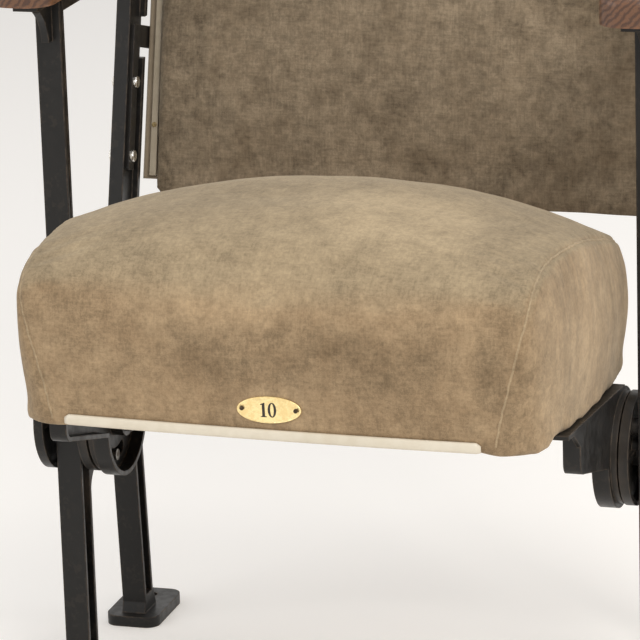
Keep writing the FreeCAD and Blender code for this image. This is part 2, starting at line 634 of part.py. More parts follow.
def back_shell():
    """Painted back panel with rounded edges and corners."""
    s0, s1 = SHELL_S
    panel = block((-SHELL_HALF, SHELL_HALF), (0.0, SHELL_THICKNESS), (s0, s1))
    corners = [e for e in panel.Edges if abs(e.Vertexes[0].Y - e.Vertexes[1].Y) > 1 and e.Vertexes[0].Z > 0]
    panel = panel.makeFillet(SHELL_CORNER, corners)
    rims = [e for e in panel.Edges if e.BoundBox.YLength < 0.01]
    panel = lean(panel.makeFillet(SHELL_EDGE, rims))
    screws = strap_screws()
    return panel.cut(Part.makeCompound(screws + [mirrored(s) for s in screws]))


def back_pad_section(s, half, depth, crown):
    """Closed wire across the back pad at height s: flat behind, crowned in front."""
    rear = -PAD_BOARD
    corner = min(10.0, depth * 0.6)
    turn = math.sqrt(0.5)
    front = -PAD_BOARD - depth
    right_rear = Vector(half, rear, s)
    right_side = Vector(half, front + corner, s)
    right_front = Vector(half - corner, front, s)
    mid = Vector(half - corner + corner * turn, front + corner - corner * turn, s)

    def flip(point):
        return Vector(-point.x, point.y, point.z)
    edges = [Part.makeLine(flip(right_rear), right_rear), Part.makeLine(right_rear, right_side),
             Part.Arc(right_side, mid, right_front).toShape(),
             Part.Arc(right_front, Vector(0, -PAD_BOARD - crown, s), flip(right_front)).toShape(),
             Part.Arc(flip(right_front), flip(mid), flip(right_side)).toShape(),
             Part.makeLine(flip(right_side), flip(right_rear))]
    return Part.Wire(edges)


def back_pad():
    """Upholstered pad of the back, crowned across and up, with rolled ends."""
    s0, s1 = PAD_S
    sections = []
    for inset, tuck, depth, crown in ((0.0, 9.0, 3.0, 3.5), (4.0, 4.0, 7.0, 8.0), (12.0, 1.0, 11.0, 12.5),
                                      (26.0, 0.0, 14.0, 17.0), (70.0, 0.0, 15.0, 22.0), (140.0, 0.0, 15.0, 25.5)):
        sections.append((s0 + inset, PAD_HALF - tuck, depth, crown))
        sections.append((s1 - inset, PAD_HALF - tuck, depth, crown))
    sections.append(((s0 + s1) / 2.0, PAD_HALF, 15.0, 26.0))
    sections.sort()
    return lean(Part.makeLoft([back_pad_section(*values) for values in sections], True, True))


def back_pad_board():
    """Hardboard that carries the pad."""
    return lean(block((-PAD_BOARD_HALF, PAD_BOARD_HALF), (-PAD_BOARD, 0.0), PAD_BOARD_S))


def back_bead():
    """Raised strip round the pad, up one side, over the top and down the other."""
    inner, outer = BEAD_INNER, BEAD_INNER + BEAD_WIDTH
    s0, top = SHELL_S[0] + 3.0, PAD_S[1] + 2.0
    frame = block((-outer, outer), (-BEAD_HEIGHT, 0.0), (s0, top + BEAD_WIDTH))
    corners = [e for e in frame.Edges if abs(e.Vertexes[0].Y - e.Vertexes[1].Y) > 1 and e.Vertexes[0].Z > 0]
    frame = frame.makeFillet(BEAD_CORNER, corners)
    window = block((-inner, inner), (-BEAD_HEIGHT - 1, 1.0), (s0 - 1, top))
    corners = [e for e in window.Edges if abs(e.Vertexes[0].Y - e.Vertexes[1].Y) > 1 and e.Vertexes[0].Z > 0]
    frame = frame.cut(window.makeFillet(BEAD_CORNER - BEAD_WIDTH, corners))
    return lean(frame)


def bead_nails():
    """Round nail heads along the bead."""
    middle = BEAD_INNER + BEAD_WIDTH / 2.0
    top = PAD_S[1] + 2.0 + BEAD_WIDTH / 2.0
    places = [(side * middle, s) for side in (-1, 1) for s in NAIL_S] + [(x, top) for x in NAIL_X]
    nails = []
    for x, s in places:
        head = Part.makeCylinder(NAIL_RADIUS, NAIL_HEAD, Vector(x, -BEAD_HEIGHT - NAIL_HEAD, s), Vector(0, 1, 0))
        nails.append(lean(head))
    return nails


def to_back(y, z):
    """n and s of a point given by Y and Z."""
    turn = math.radians(BACK_LEAN)
    dy, dz = y - BACK_REF_Y, z - BACK_REF_Z
    return dy * math.cos(turn) - dz * math.sin(turn), dy * math.sin(turn) + dz * math.cos(turn)


def back_strap():
    """Bent strap: up the upright's recess, back through the cast gap, in behind the shell."""
    side = HALF_PITCH - UPRIGHT_BAR_WIDTH / 2.0
    x = (side - STRAP, side)
    low, high = STRAP_Z
    middle = upright_y(low) + UPRIGHT_BAR_DEPTH / 2.0
    n_mid, s_low = to_back(middle, low)
    _, s_high = to_back(upright_y(high) + UPRIGHT_BAR_DEPTH / 2.0, high)
    half = STRAP_WIDTH / 2.0
    n_rear = SHELL_THICKNESS + STRAP
    upright_leg = block(x, (n_mid - half, n_mid + half), (s_low, s_high))
    tail = block(x, (n_mid - half, n_rear), (s_high - 2 * half - 6, s_high))
    inward = block((STRAP_REACH_X, side), (SHELL_THICKNESS, n_rear), (s_high - 2 * half - 6, s_high))
    strap = lean(fuse([upright_leg, tail, inward]))
    return strap.cut(Part.makeCompound(strap_bolts() + strap_screws()))


def strap_bolts():
    """Bolts through the upright that hold the strap, with their nuts as separate solids."""
    bolts = []
    inner = HALF_PITCH - UPRIGHT_BAR_WIDTH / 2.0
    outer = HALF_PITCH + UPRIGHT_BAR_WIDTH / 2.0
    for z in STRAP_BOLT_Z:
        y = upright_y(z) + UPRIGHT_BAR_DEPTH / 2.0
        shank = rod_x(inner - STRAP - 1.0, outer + NUT_HEIGHT + 1.0, STRAP_BOLT_RADIUS, y, z)
        head = rod_x(inner - STRAP - STRAP_BOLT_HEAD, inner - STRAP, STRAP_BOLT_HEAD_RADIUS, y, z)
        head = head.makeFillet(2.0, [e for e in head.Edges if e.BoundBox.XLength < 0.01
                                     and e.BoundBox.XMin < inner - STRAP - 3])
        bolts.append(shank.fuse(head).removeSplitter())
    return bolts


def strap_nuts():
    """Hexagon nuts on the strap bolts."""
    nuts = []
    outer = HALF_PITCH + UPRIGHT_BAR_WIDTH / 2.0
    for z in STRAP_BOLT_Z:
        y = upright_y(z) + UPRIGHT_BAR_DEPTH / 2.0
        hexagon = [(y + NUT_CORNERS / 2.0 * math.cos(math.radians(60 * k)),
                    z + NUT_CORNERS / 2.0 * math.sin(math.radians(60 * k))) for k in range(6)]
        nut = prism(hexagon, outer, outer + NUT_HEIGHT)
        nuts.append(nut.cut(rod_x(outer - 1, outer + NUT_HEIGHT + 1, STRAP_BOLT_RADIUS, y, z)))
    return nuts


def strap_screws():
    """Screws from behind that hold the shell to the strap."""
    screws = []
    _, s_high = to_back(upright_y(STRAP_Z[1]) + UPRIGHT_BAR_DEPTH / 2.0, STRAP_Z[1])
    s = s_high - STRAP_WIDTH / 2.0 - 3.0
    rear = SHELL_THICKNESS + STRAP
    for x in STRAP_SCREW_X:
        head = Part.makeCylinder(STRAP_SCREW_HEAD_RADIUS, STRAP_SCREW_HEAD, Vector(x, rear, s), Vector(0, 1, 0))
        shank = Part.makeCylinder(STRAP_SCREW_RADIUS, rear - STRAP_SCREW_COVER, Vector(x, STRAP_SCREW_COVER, s),
                                  Vector(0, 1, 0))
        screws.append(lean(head.fuse(shank).removeSplitter()))
    return screws


def armrest():
    """Hardwood armrest with rounded edges and nose."""
    x = HALF_PITCH
    half = REST_WIDTH / 2.0
    top = ARM_BAR_TOP_Z + REST_THICKNESS
    rest = block((x - half, x + half), REST_Y, (ARM_BAR_TOP_Z, top))
    nose = [e for e in rest.Edges if abs(e.Vertexes[0].Z - e.Vertexes[1].Z) > 1 and e.Vertexes[0].Y < 0]
    rest = rest.makeFillet(REST_NOSE_CORNER, nose)
    upper = [e for e in rest.Edges if e.BoundBox.ZLength < 0.01 and abs(e.BoundBox.ZMin - top) < 0.01]
    rest = rest.makeFillet(REST_EDGE, upper)
    return rest.cut(Part.makeCompound(rest_screws()))


def rest_screw_seat(y):
    """Height that a screw's head bears on: the bar's nose is thinner than its stem."""
    return ARM_BAR_TOP_Z - (ARM_BAR_THICKNESS if y < 0 else ARM_STEM_DEPTH)


def rest_screws():
    """Screws up through the iron bar into the armrest."""
    screws = []
    for y in REST_SCREW_Y:
        start = rest_screw_seat(y)
        head = rod_z(HALF_PITCH, y, start - REST_SCREW_HEAD, start, REST_SCREW_HEAD_RADIUS)
        shank = rod_z(HALF_PITCH, y, start - 1.0, ARM_BAR_TOP_Z + REST_SCREW_RISE, REST_SCREW_RADIUS)
        screws.append(head.fuse(shank).removeSplitter())
    return screws


def place(shape):
    """Moves a shape from the drawing's origin to the part's own frame."""
    moved = shape.copy()
    moved.translate(Vector(0, -ORIGIN_Y, HINGE_HEIGHT))
    return moved


def save(name, solids):
    """Writes one node and prints what it is made of."""
    solids = solids if isinstance(solids, list) else [solids]
    pieces = [piece for solid in solids for piece in solid.Solids]
    shape = pieces[0] if len(pieces) == 1 else Part.makeCompound(pieces)
    shape = place(shape)
    shape.exportStep(f"parts/{name}.step")
    valid = all(piece.isValid() for piece in pieces)
    print(f"{name}: {len(pieces)} solid(s), {shape.Volume / 1000:.1f} cm3, valid {valid}")
    return shape


def both_sides(name, solids):
    """Writes the right hand node and its mirror image on the left."""
    solids = solids if isinstance(solids, list) else [solids]
    return [save(f"right_{name}", solids), save(f"left_{name}", [mirrored(solid) for solid in solids])]


def main():
    """Builds every piece and writes it."""
    os.makedirs("parts", exist_ok=True)
    made = []
    sided = {"standard": standard(), "inner_hub": hub(True), "outer_hub": hub(False), "pivot_pin": pivot_pin(),
             "hub_cross_pin": taper_pin(), "pivot_bush": bush(), "thrust_washer": thrust_washer(),
             "hub_rivets": hub_rivets(), "stop_peg": stop_peg(), "seat_arm": seat_arm(),
             "arm_screws": arm_screws(), "back_strap": back_strap(), "strap_bolts": strap_bolts(),
             "strap_nuts": strap_nuts(), "strap_screws": strap_screws(), "armrest": armrest(),
             "armrest_screws": rest_screws()}
    for name, solids in sided.items():
        made += both_sides(name, solids)
    single = {"seat_board": seat_board(), "seat_cushion": cushion(), "seat_springs": springs(),
              "front_trim": front_trim(), "number_plate": number_plate(), "number_plate_pins": plate_pins(),
              "back_shell": back_shell(), "back_pad_board": back_pad_board(), "back_pad": back_pad(),
              "back_bead": back_bead(), "back_bead_nails": bead_nails()}
    for name, solids in single.items():
        made.append(save(name, solids))
    box = Part.makeCompound(made).BoundBox
    print(f"box X {box.XMin:.1f} {box.XMax:.1f} Y {box.YMin:.1f} {box.YMax:.1f} Z {box.ZMin:.1f} {box.ZMax:.1f}")


main()
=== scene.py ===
"""Tip up auditorium seat: upholstery, finishes and studio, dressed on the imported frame.

Shapes are given in millimetres as on the part's drawing, whose Y = 0 is the
front face of the front posts and whose Z = 0 is the hinge axis. on_frame()
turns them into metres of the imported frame.
"""
from __future__ import annotations

import json
import logging
import math
from dataclasses import dataclass
from enum import Enum
from typing import Callable, Sequence

import bmesh
import bpy
from mathutils import Matrix, Vector, noise
from mathutils.bvhtree import BVHTree
from mathutils.kdtree import KDTree

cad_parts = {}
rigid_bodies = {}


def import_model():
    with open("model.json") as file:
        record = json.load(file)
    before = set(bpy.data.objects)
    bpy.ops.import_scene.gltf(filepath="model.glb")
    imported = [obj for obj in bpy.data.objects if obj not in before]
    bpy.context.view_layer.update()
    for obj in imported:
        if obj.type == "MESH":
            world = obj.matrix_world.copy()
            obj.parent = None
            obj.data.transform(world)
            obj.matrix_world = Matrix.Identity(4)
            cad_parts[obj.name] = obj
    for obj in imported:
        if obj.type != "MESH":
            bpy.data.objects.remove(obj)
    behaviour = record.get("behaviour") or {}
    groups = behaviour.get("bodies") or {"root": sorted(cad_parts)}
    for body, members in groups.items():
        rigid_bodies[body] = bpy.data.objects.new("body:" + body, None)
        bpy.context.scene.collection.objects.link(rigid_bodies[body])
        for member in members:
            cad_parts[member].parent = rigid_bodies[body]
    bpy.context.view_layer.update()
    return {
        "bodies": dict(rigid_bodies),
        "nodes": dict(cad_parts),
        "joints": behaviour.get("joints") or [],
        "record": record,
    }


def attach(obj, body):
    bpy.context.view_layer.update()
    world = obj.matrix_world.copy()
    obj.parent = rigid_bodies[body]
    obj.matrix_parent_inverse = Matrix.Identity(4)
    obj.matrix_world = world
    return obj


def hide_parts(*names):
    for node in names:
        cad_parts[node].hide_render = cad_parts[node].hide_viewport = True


LOG = logging.getLogger("auditorium_seat")

MM = 0.001
POST_FRONT_Y = -41.02          # the drawing's Y = 0, in millimetres of the frame
HINGE_HEIGHT = 240.0           # the drawing's Z = 0, in millimetres above the floor
SEAT_FRONT_Y = -233.0          # front face of the seat on the drawing
PLATE_Z = 100.5                # middle of the number plate on the drawing
LINE_STEP = 0.002              # metres between the points of a seam's line
Triple = tuple[float, float, float]
Colour = Triple


def on_frame(x: float, y: float, z: float) -> Vector:
    """Point of the drawing, in millimetres, as a point of the frame in metres."""
    return Vector((x * MM, (y + POST_FRONT_Y) * MM, (z + HINGE_HEIGHT) * MM))


def on_drawing(point: Vector) -> Triple:
    """Point of the frame, in metres, as millimetres of the drawing."""
    return point.x / MM, point.y / MM - POST_FRONT_Y, point.z / MM - HINGE_HEIGHT


class Body(Enum):
    """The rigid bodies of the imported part."""

    FRAME = "frame"
    SEAT = "seat"


class Side(Enum):
    """Side of the seat, with its sign along X."""

    LEFT = -1
    RIGHT = 1

    @property
    def word(self) -> str:
        """Name used in node names."""
        return self.name.lower()


def mix_values(low: float, high: float, share: float) -> float:
    """Value a share of the way from low to high."""
    return low + (high - low) * share


def ease(value: float) -> float:
    """Smooth step of a value clamped to 0..1."""
    value = min(1.0, max(0.0, value))
    return value * value * (3.0 - 2.0 * value)


def rise(value: float, start: float, length: float) -> float:
    """Smooth step from 0 at a start to 1 a length further on, or further back where it is negative."""
    return ease((value - start) / length)


def smooth_curve(places: Sequence[float], values: Sequence[float]) -> Callable[[float], float]:
    """Curve through given values that never overshoots them.

    Args:
        places: Rising positions.
        values: The value wanted at each.

    Returns:
        A function that gives the value at any position.
    """
    steps = [(values[k + 1] - values[k]) / (places[k + 1] - places[k]) for k in range(len(places) - 1)]
    slopes = [steps[0]]
    for before, after in zip(steps, steps[1:]):
        slopes.append(0.0 if before * after <= 0 else 2.0 * before * after / (before + after))
    slopes.append(steps[-1])

    def at(place: float) -> float:
        place = min(places[-1], max(places[0], place))
        k = max(i for i in range(len(places) - 1) if places[i] <= place)
        width = places[k + 1] - places[k]
        t = (place - places[k]) / width
        return ((2 * t ** 3 - 3 * t ** 2 + 1) * values[k] + (t ** 3 - 2 * t ** 2 + t) * width * slopes[k]
                + (3 * t ** 2 - 2 * t ** 3) * values[k + 1] + (t ** 3 - t ** 2) * width * slopes[k + 1])

    return at


def toned(colour: Colour, factor: float, lift: float = 0.0) -> Colour:
    """Colour made lighter or darker by a factor, and lifted."""
    return tuple(min(1.0, factor * share + lift) for share in colour)


class Graph:
    """Short hand for building a node tree."""

    def __init__(self, tree: bpy.types.NodeTree) -> None:
        """Keeps the tree that nodes are added to."""
        self.tree = tree

    def feed(self, socket: bpy.types.NodeSocket, value: object) -> None:
        """Links a socket to another one, or sets its value; a bare colour becomes opaque."""
        if isinstance(value, bpy.types.NodeSocket):
            self.tree.links.new(value, socket)
        elif socket.type == "RGBA" and len(value) == 3:
            socket.default_value = (*value, 1.0)
        else:
            socket.default_value = value

    def add(self, kind: str, inputs: dict[str | int, object] | None = None, **settings: object) -> bpy.types.Node:
        """Adds a node.

        Args:
            kind: Blender's name of the node type.
            inputs: Socket name or index to a value, or to a socket to link from.
            **settings: Properties of the node.

        Returns:
            The new node.
        """
        node = self.tree.nodes.new(kind)
        for name, value in settings.items():
            setattr(node, name, value)
        for key, value in (inputs or {}).items():
            self.feed(node.inputs[key], value)
        return node

    def math(self, operation: str, a: object, b: object = 0.0, clamp: bool = False) -> bpy.types.NodeSocket:
        """Result of a Math node on two values or sockets."""
        return self.add("ShaderNodeMath", {0: a, 1: b}, operation=operation, use_clamp=clamp).outputs[0]

    def plus(self, value: object, extra: object, strength: object, clamp: bool = False) -> bpy.types.NodeSocket:
        """Value with an extra added at a strength."""
        return self.math("ADD", value, self.math("MULTIPLY", extra, strength), clamp)

    def blend(self, a: object, b: object, share: float) -> bpy.types.NodeSocket:
        """Number between two numbers, the second one with the given share."""
        return self.plus(self.math("MULTIPLY", a, 1.0 - share), b, share)

    def vectors(self, operation: str, a: object, b: object = (0.0, 0.0, 0.0)) -> bpy.types.NodeSocket:
        """Result of a Vector Math node: a number for a length or a dot product, else a vector."""
        node = self.add("ShaderNodeVectorMath", {0: a, 1: b}, operation=operation)
        return node.outputs["Value" if operation in ("LENGTH", "DOT_PRODUCT") else "Vector"]

    def ramp(self, value: object, low: float, high: float, to_low: float = 0.0,
             to_high: float = 1.0) -> bpy.types.NodeSocket:
        """Smooth map of a value from one range to another."""
        inputs = {"Value": value, "From Min": low, "From Max": high, "To Min": to_low, "To Max": to_high}
        return self.add("ShaderNodeMapRange", inputs, interpolation_type="SMOOTHSTEP").outputs["Result"]

    def mix(self, factor: object, a: object, b: object) -> bpy.types.NodeSocket:
        """Colour between two colours or sockets."""
        return self.add("ShaderNodeMix", {0: factor, 6: a, 7: b}, data_type="RGBA").outputs[2]

    def noise(self, vector: object, scale: object, detail: float = 3.0, distortion: float = 0.0,
              roughness: float = 0.5) -> bpy.types.NodeSocket:
        """Grey noise at a scale given in waves per metre."""
        return self.add("ShaderNodeTexNoise", {"Vector": vector, "Scale": scale, "Detail": detail,
                                               "Distortion": distortion, "Roughness": roughness}).outputs[0]

    def stretch(self, vector: object, scale: Triple, turn: Triple = (0.0, 0.0, 0.0)) -> bpy.types.NodeSocket:
        """Vector scaled and turned by a Mapping node."""
        return self.add("ShaderNodeMapping", {"Vector": vector, "Scale": scale, "Rotation": turn}).outputs[0]

    def seen_rays(self) -> bpy.types.NodeSocket:
        """One for the rays that show a surface: straight, mirrored or through glass."""
        path = self.add("ShaderNodeLightPath")
        return self.math("MAXIMUM", path.outputs["Is Camera Ray"],
                         self.math("MAXIMUM", path.outputs["Is Glossy Ray"], path.outputs["Is Transmission Ray"]))


def new_group(name: str, inputs: dict[str, tuple[str, object]], outputs: dict[str, str]) -> tuple[
        bpy.types.NodeTree, Graph, bpy.types.Node, bpy.types.Node]:
    """Starts a shader node group with named sockets.

    Args:
        name: Name of the group.
        inputs: Socket name to its type and default.
        outputs: Socket name to its type.

    Returns:
        The tree, its graph, and its input and output nodes.
    """
    tree = bpy.data.node_groups.new(name, "ShaderNodeTree")
    for label, (kind, default) in inputs.items():
        socket = tree.interface.new_socket(label, in_out="INPUT", socket_type=kind)
        if default is not None:
            socket.default_value = default
    for label, kind in outputs.items():
        tree.interface.new_socket(label, in_out="OUTPUT", socket_type=kind)
    return tree, Graph(tree), tree.nodes.new("NodeGroupInput"), tree.nodes.new("NodeGroupOutput")


class Effects:
    """Shader groups that several finishes share, each built once."""

    FLOAT = "NodeSocketFloat"
    VECTOR = "NodeSocketVector"

    def __init__(self) -> None:
        """Builds the groups."""
        self.edge_wear = self._edge_wear()
        self.mottle = self._mottle()
        self.nap = self._nap()
        self.cast_skin = self._cast_skin()
        self.spot = self._spot()
        self.grain = self._grain()

    def _edge_wear(self) -> bpy.types.NodeTree:
        """Mask of the edges where a finish rubs off, broken up by noise."""
        tree, graph, given, result = new_group(
            "edge_wear",
            {"Vector": (self.VECTOR, None), "Radius": (self.FLOAT, 0.002), "Amount": (self.FLOAT, 0.5)},
            {"Mask": self.FLOAT})
        rounded = graph.add("ShaderNodeBevel", {"Radius": given.outputs["Radius"]}, samples=4).outputs[0]
        flat = graph.add("ShaderNodeNewGeometry").outputs["Normal"]
        level = graph.vectors("DOT_PRODUCT", rounded, flat)
        edge = graph.ramp(graph.math("SUBTRACT", 1.0, level), 0.01, 0.16)
        rough = graph.ramp(graph.noise(given.outputs["Vector"], 130.0, 5.0, 0.4), 0.42, 0.62)
        worn = graph.math("MULTIPLY", edge, graph.math("ADD", graph.math("MULTIPLY", rough, 0.8), 0.2))
        tree.links.new(graph.math("MULTIPLY", worn, given.outputs["Amount"], clamp=True), result.inputs["Mask"])
        return tree

    def _mottle(self) -> bpy.types.NodeTree:
        """Cloudy mask at two scales."""
        tree, graph, given, result = new_group(
            "mottle", {"Vector": (self.VECTOR, None), "Large": (self.FLOAT, 8.0), "Small": (self.FLOAT, 60.0),
                       "Balance": (self.FLOAT, 0.5)}, {"Mask": self.FLOAT})
        large = graph.noise(given.outputs["Vector"], given.outputs["Large"], 3.0, 0.6)
        small = graph.noise(given.outputs["Vector"], given.outputs["Small"], 4.0, 0.2)
        large_share = graph.math("SUBTRACT", 1.0, given.outputs["Balance"])
        clouds = graph.math("MULTIPLY", graph.ramp(large, 0.32, 0.68), large_share)
        both = graph.plus(clouds, graph.ramp(small, 0.3, 0.7), given.outputs["Balance"])
        tree.links.new(both, result.inputs["Mask"])
        return tree

    def _nap(self) -> bpy.types.NodeTree:
        """Pile of a velvet: its height, and a fine fleck that follows it."""
        tree, graph, given, result = new_group(
            "velvet_nap", {"Vector": (self.VECTOR, None), "Pile": (self.FLOAT, 1500.0)},
            {"Height": self.FLOAT, "Fleck": self.FLOAT})
        tuft = graph.noise(given.outputs["Vector"], given.outputs["Pile"], 2.0, 0.0, 0.7)
        clump = graph.noise(given.outputs["Vector"], 330.0, 3.0, 0.3)
        height = graph.blend(tuft, clump, 0.45)
        tree.links.new(height, result.inputs["Height"])
        tree.links.new(graph.ramp(height, 0.38, 0.62), result.inputs["Fleck"])
        return tree

    def _cast_skin(self) -> bpy.types.NodeTree:
        """Uneven skin of a sand casting."""
        tree, graph, given, result = new_group(
            "cast_skin", {"Vector": (self.VECTOR, None), "Grain": (self.FLOAT, 700.0)}, {"Height": self.FLOAT})
        grain = graph.noise(given.outputs["Vector"], given.outputs["Grain"], 3.0, 0.0, 0.6)
        wave = graph.noise(given.outputs["Vector"], 60.0, 2.0)
        tree.links.new(graph.blend(grain, wave, 0.65), result.inputs["Height"])
        return tree

    def _spot(self) -> bpy.types.NodeTree:
        """Soft oval patch round a point, with a ragged edge."""
        tree, graph, given, result = new_group(
            "soft_spot", {"Vector": (self.VECTOR, None), "Centre": (self.VECTOR, (0.0, 0.0, 0.0)),
                          "Reach": (self.VECTOR, (0.1, 0.1, 0.1)), "Ragged": (self.FLOAT, 0.3)},
            {"Mask": self.FLOAT})
        away = graph.vectors("SUBTRACT", given.outputs["Vector"], given.outputs["Centre"])
        far = graph.vectors("LENGTH", graph.vectors("DIVIDE", away, given.outputs["Reach"]))
        swing = graph.math("SUBTRACT", graph.noise(given.outputs["Vector"], 22.0, 4.0, 0.8), 0.5)
        ragged = graph.plus(far, swing, graph.math("MULTIPLY", given.outputs["Ragged"], 4.0))
        tree.links.new(graph.ramp(ragged, 1.0, 0.35), result.inputs["Mask"])
        return tree

    def _grain(self) -> bpy.types.NodeTree:
        """Wood figure that runs along the vector's X."""
        tree, graph, given, result = new_group(
            "wood_grain", {"Vector": (self.VECTOR, None), "Rings": (self.FLOAT, 90.0)},
            {"Figure": self.FLOAT, "Pores": self.FLOAT})
        long = graph.stretch(given.outputs["Vector"], (0.09, 1.0, 1.0))
        bend = graph.noise(long, 16.0, 3.0, 0.5)
        inputs = {"Vector": long, "Scale": given.outputs["Rings"], "Distortion": 5.0, "Detail": 3.0,
                  "Detail Scale": 1.2}
        waves = graph.add("ShaderNodeTexWave", inputs, bands_direction="DIAGONAL")
        tree.links.new(graph.blend(waves.outputs["Fac"], bend, 0.45), result.inputs["Figure"])
        pores = graph.noise(graph.stretch(given.outputs["Vector"], (0.05, 1.0, 1.0)), 1300.0, 2.0)
        tree.links.new(graph.ramp(pores, 0.56, 0.68), result.inputs["Pores"])
        return tree


@dataclass(frozen=True)
class Patch:
    """Soft oval patch where a finish is worn, crushed or brushed another way; some of the seat's patches are
    painted light.

    Its centre and reach are in metres of the frame, and its strength is what it adds.
    """

    centre: Vector
    reach: Vector
    strength: float


class Finish:
    """Base of all finishes: a Principled surface on Object coordinates."""

    def __init__(self, name: str, effects: Effects) -> None:
        """Starts the material.

        Args:
            name: Name of the material.
            effects: The shared shader groups.
        """
        self.effects = effects
        self.material = bpy.data.materials.new(name)
        self.material.use_nodes = True
        self.graph = Graph(self.material.node_tree)
        self.surface = self.material.node_tree.nodes["Principled BSDF"]
        self.place = self.graph.add("ShaderNodeTexCoord").outputs["Object"]

    def set(self, **values: object) -> None:
        """Sets or links sockets of the surface; underscores stand for blanks."""
        for label, value in values.items():
            self.graph.feed(self.surface.inputs[label.replace("_", " ")], value)

    def effect(self, tree: bpy.types.NodeTree, output: str, **inputs: object) -> bpy.types.NodeSocket:
        """Places a shared group and gives one of its outputs."""
        return self.graph.add("ShaderNodeGroup", {"Vector": self.place, **inputs}, node_tree=tree).outputs[output]

    def patched(self, value: bpy.types.NodeSocket, patches: Sequence[Patch], ragged: float,
                clamp: bool = False) -> bpy.types.NodeSocket:
        """Value with every patch added, each with a ragged edge."""
        for patch in patches:
            mask = self.effect(self.effects.spot, "Mask", Centre=patch.centre, Reach=patch.reach, Ragged=ragged)
            value = self.graph.plus(value, mask, patch.strength, clamp)
        return value

    def bump(self, height: object, distance: float, strength: float = 1.0,
             under: bpy.types.NodeSocket | None = None) -> bpy.types.NodeSocket:
        """Normal from a height, over another normal where one is given."""
        inputs = {"Height": height, "Distance": distance, "Strength": strength}
        if under is not None:
            inputs["Normal"] = under
        return self.graph.add("ShaderNodeBump", inputs).outputs[0]

    def soft_edges(self, radius: float) -> bpy.types.NodeSocket:
        """Normal that rounds hard edges by a small radius."""
        return self.graph.add("ShaderNodeBevel", {"Radius": radius}, samples=4).outputs[0]


@dataclass(frozen=True)
class Velvet:
    """Cut pile velvet, crushed and worn.

    The pile is darker where it stands, and paler on top: partly crushed pile, partly a painted highlight from
    above.
    Streak, fray, threads and fleck are how much lighter or darker those marks are.
    """

    name: str
    standing: Colour
    crushed: Colour
    # top: colour of the faces that look up, partly crushed pile and partly a painted highlight
    top: Colour
    top_crush_and_highlight_share: float
    patches: tuple[Patch, ...] = ()
    streak: float = 0.1
    fray: float = 0.09
    threads: float = 0.055
    fleck: float = 0.12

    def _marks(self, finish: Finish, sideways: bpy.types.NodeSocket) -> bpy.types.NodeSocket:
        """Lighter and darker marks: brushed streaks, frayed pile, bare threads, and streaks up the faces that look
        along X.
        """
        graph = finish.graph
        brushed = graph.noise(graph.stretch(finish.place, (14.0, 10.0, 9.0)), 1.0, 5.0, 0.9, 0.6)
        marks = graph.ramp(brushed, 0.32, 0.68, -self.streak, self.streak)
        worn = graph.noise(finish.place, 95.0, 4.0, 0.4, 0.65)
        marks = graph.math("ADD", marks, graph.ramp(worn, 0.36, 0.64, -self.fray, self.fray))
        weft = graph.noise(graph.stretch(finish.place, (80.0, 620.0, 620.0)), 1.0, 2.0, 0.2)
        warp = graph.noise(graph.stretch(finish.place, (620.0, 80.0, 80.0)), 1.0, 2.0, 0.2)
        threads = graph.ramp(graph.math("ADD", weft, warp), 0.82, 1.18, -self.threads, self.threads)
        marks = graph.math("ADD", marks, threads)
        stroked = graph.noise(graph.stretch(finish.place, (30.0, 120.0, 9.0)), 1.0, 4.0, 0.3)
        return graph.plus(marks, graph.ramp(stroked, 0.35, 0.65, -0.07, 0.09), sideways)

    def build(self, effects: Effects) -> bpy.types.Material:
        """Material of the velvet."""
        finish = Finish(self.name, effects)
        graph = finish.graph
        facing = graph.add("ShaderNodeSeparateXYZ", {0: graph.add("ShaderNodeNewGeometry").outputs["Normal"]})
        # faces that look up take the top colour: partly crushed pile, partly a painted highlight of the light from
        # above
        upward = graph.ramp(facing.outputs["Z"], 0.2, 0.85)
        sideways = graph.ramp(graph.math("ABSOLUTE", facing.outputs["X"]), 0.55, 0.95)
        cloud = finish.effect(effects.mottle, "Mask", Large=9.0, Small=70.0, Balance=0.42)
        body = graph.mix(cloud, self.standing, self.crushed)
        body = graph.mix(graph.math("MULTIPLY", upward, self.top_crush_and_highlight_share), body, self.top)
        fleck = finish.effect(effects.nap, "Fleck", Pile=1500.0)
        pile = fleck.node.outputs["Height"]
        marks = finish.patched(self._marks(finish, sideways), self.patches, 0.45)
        marks = graph.math("ADD", marks, graph.ramp(fleck, 0.0, 1.0, -self.fleck, self.fleck))
        value = graph.math("ADD", 1.0, marks)
        shaded = graph.add("ShaderNodeHueSaturation", {"Value": value, "Color": body}).outputs[0]
        finish.set(Base_Color=shaded, Roughness=0.88, Sheen_Weight=0.28, Sheen_Roughness=0.45,
                   Sheen_Tint=(0.95, 0.84, 0.68), Specular_IOR_Level=0.12, Normal=finish.bump(pile, 0.0007, 0.55))
        return finish.material


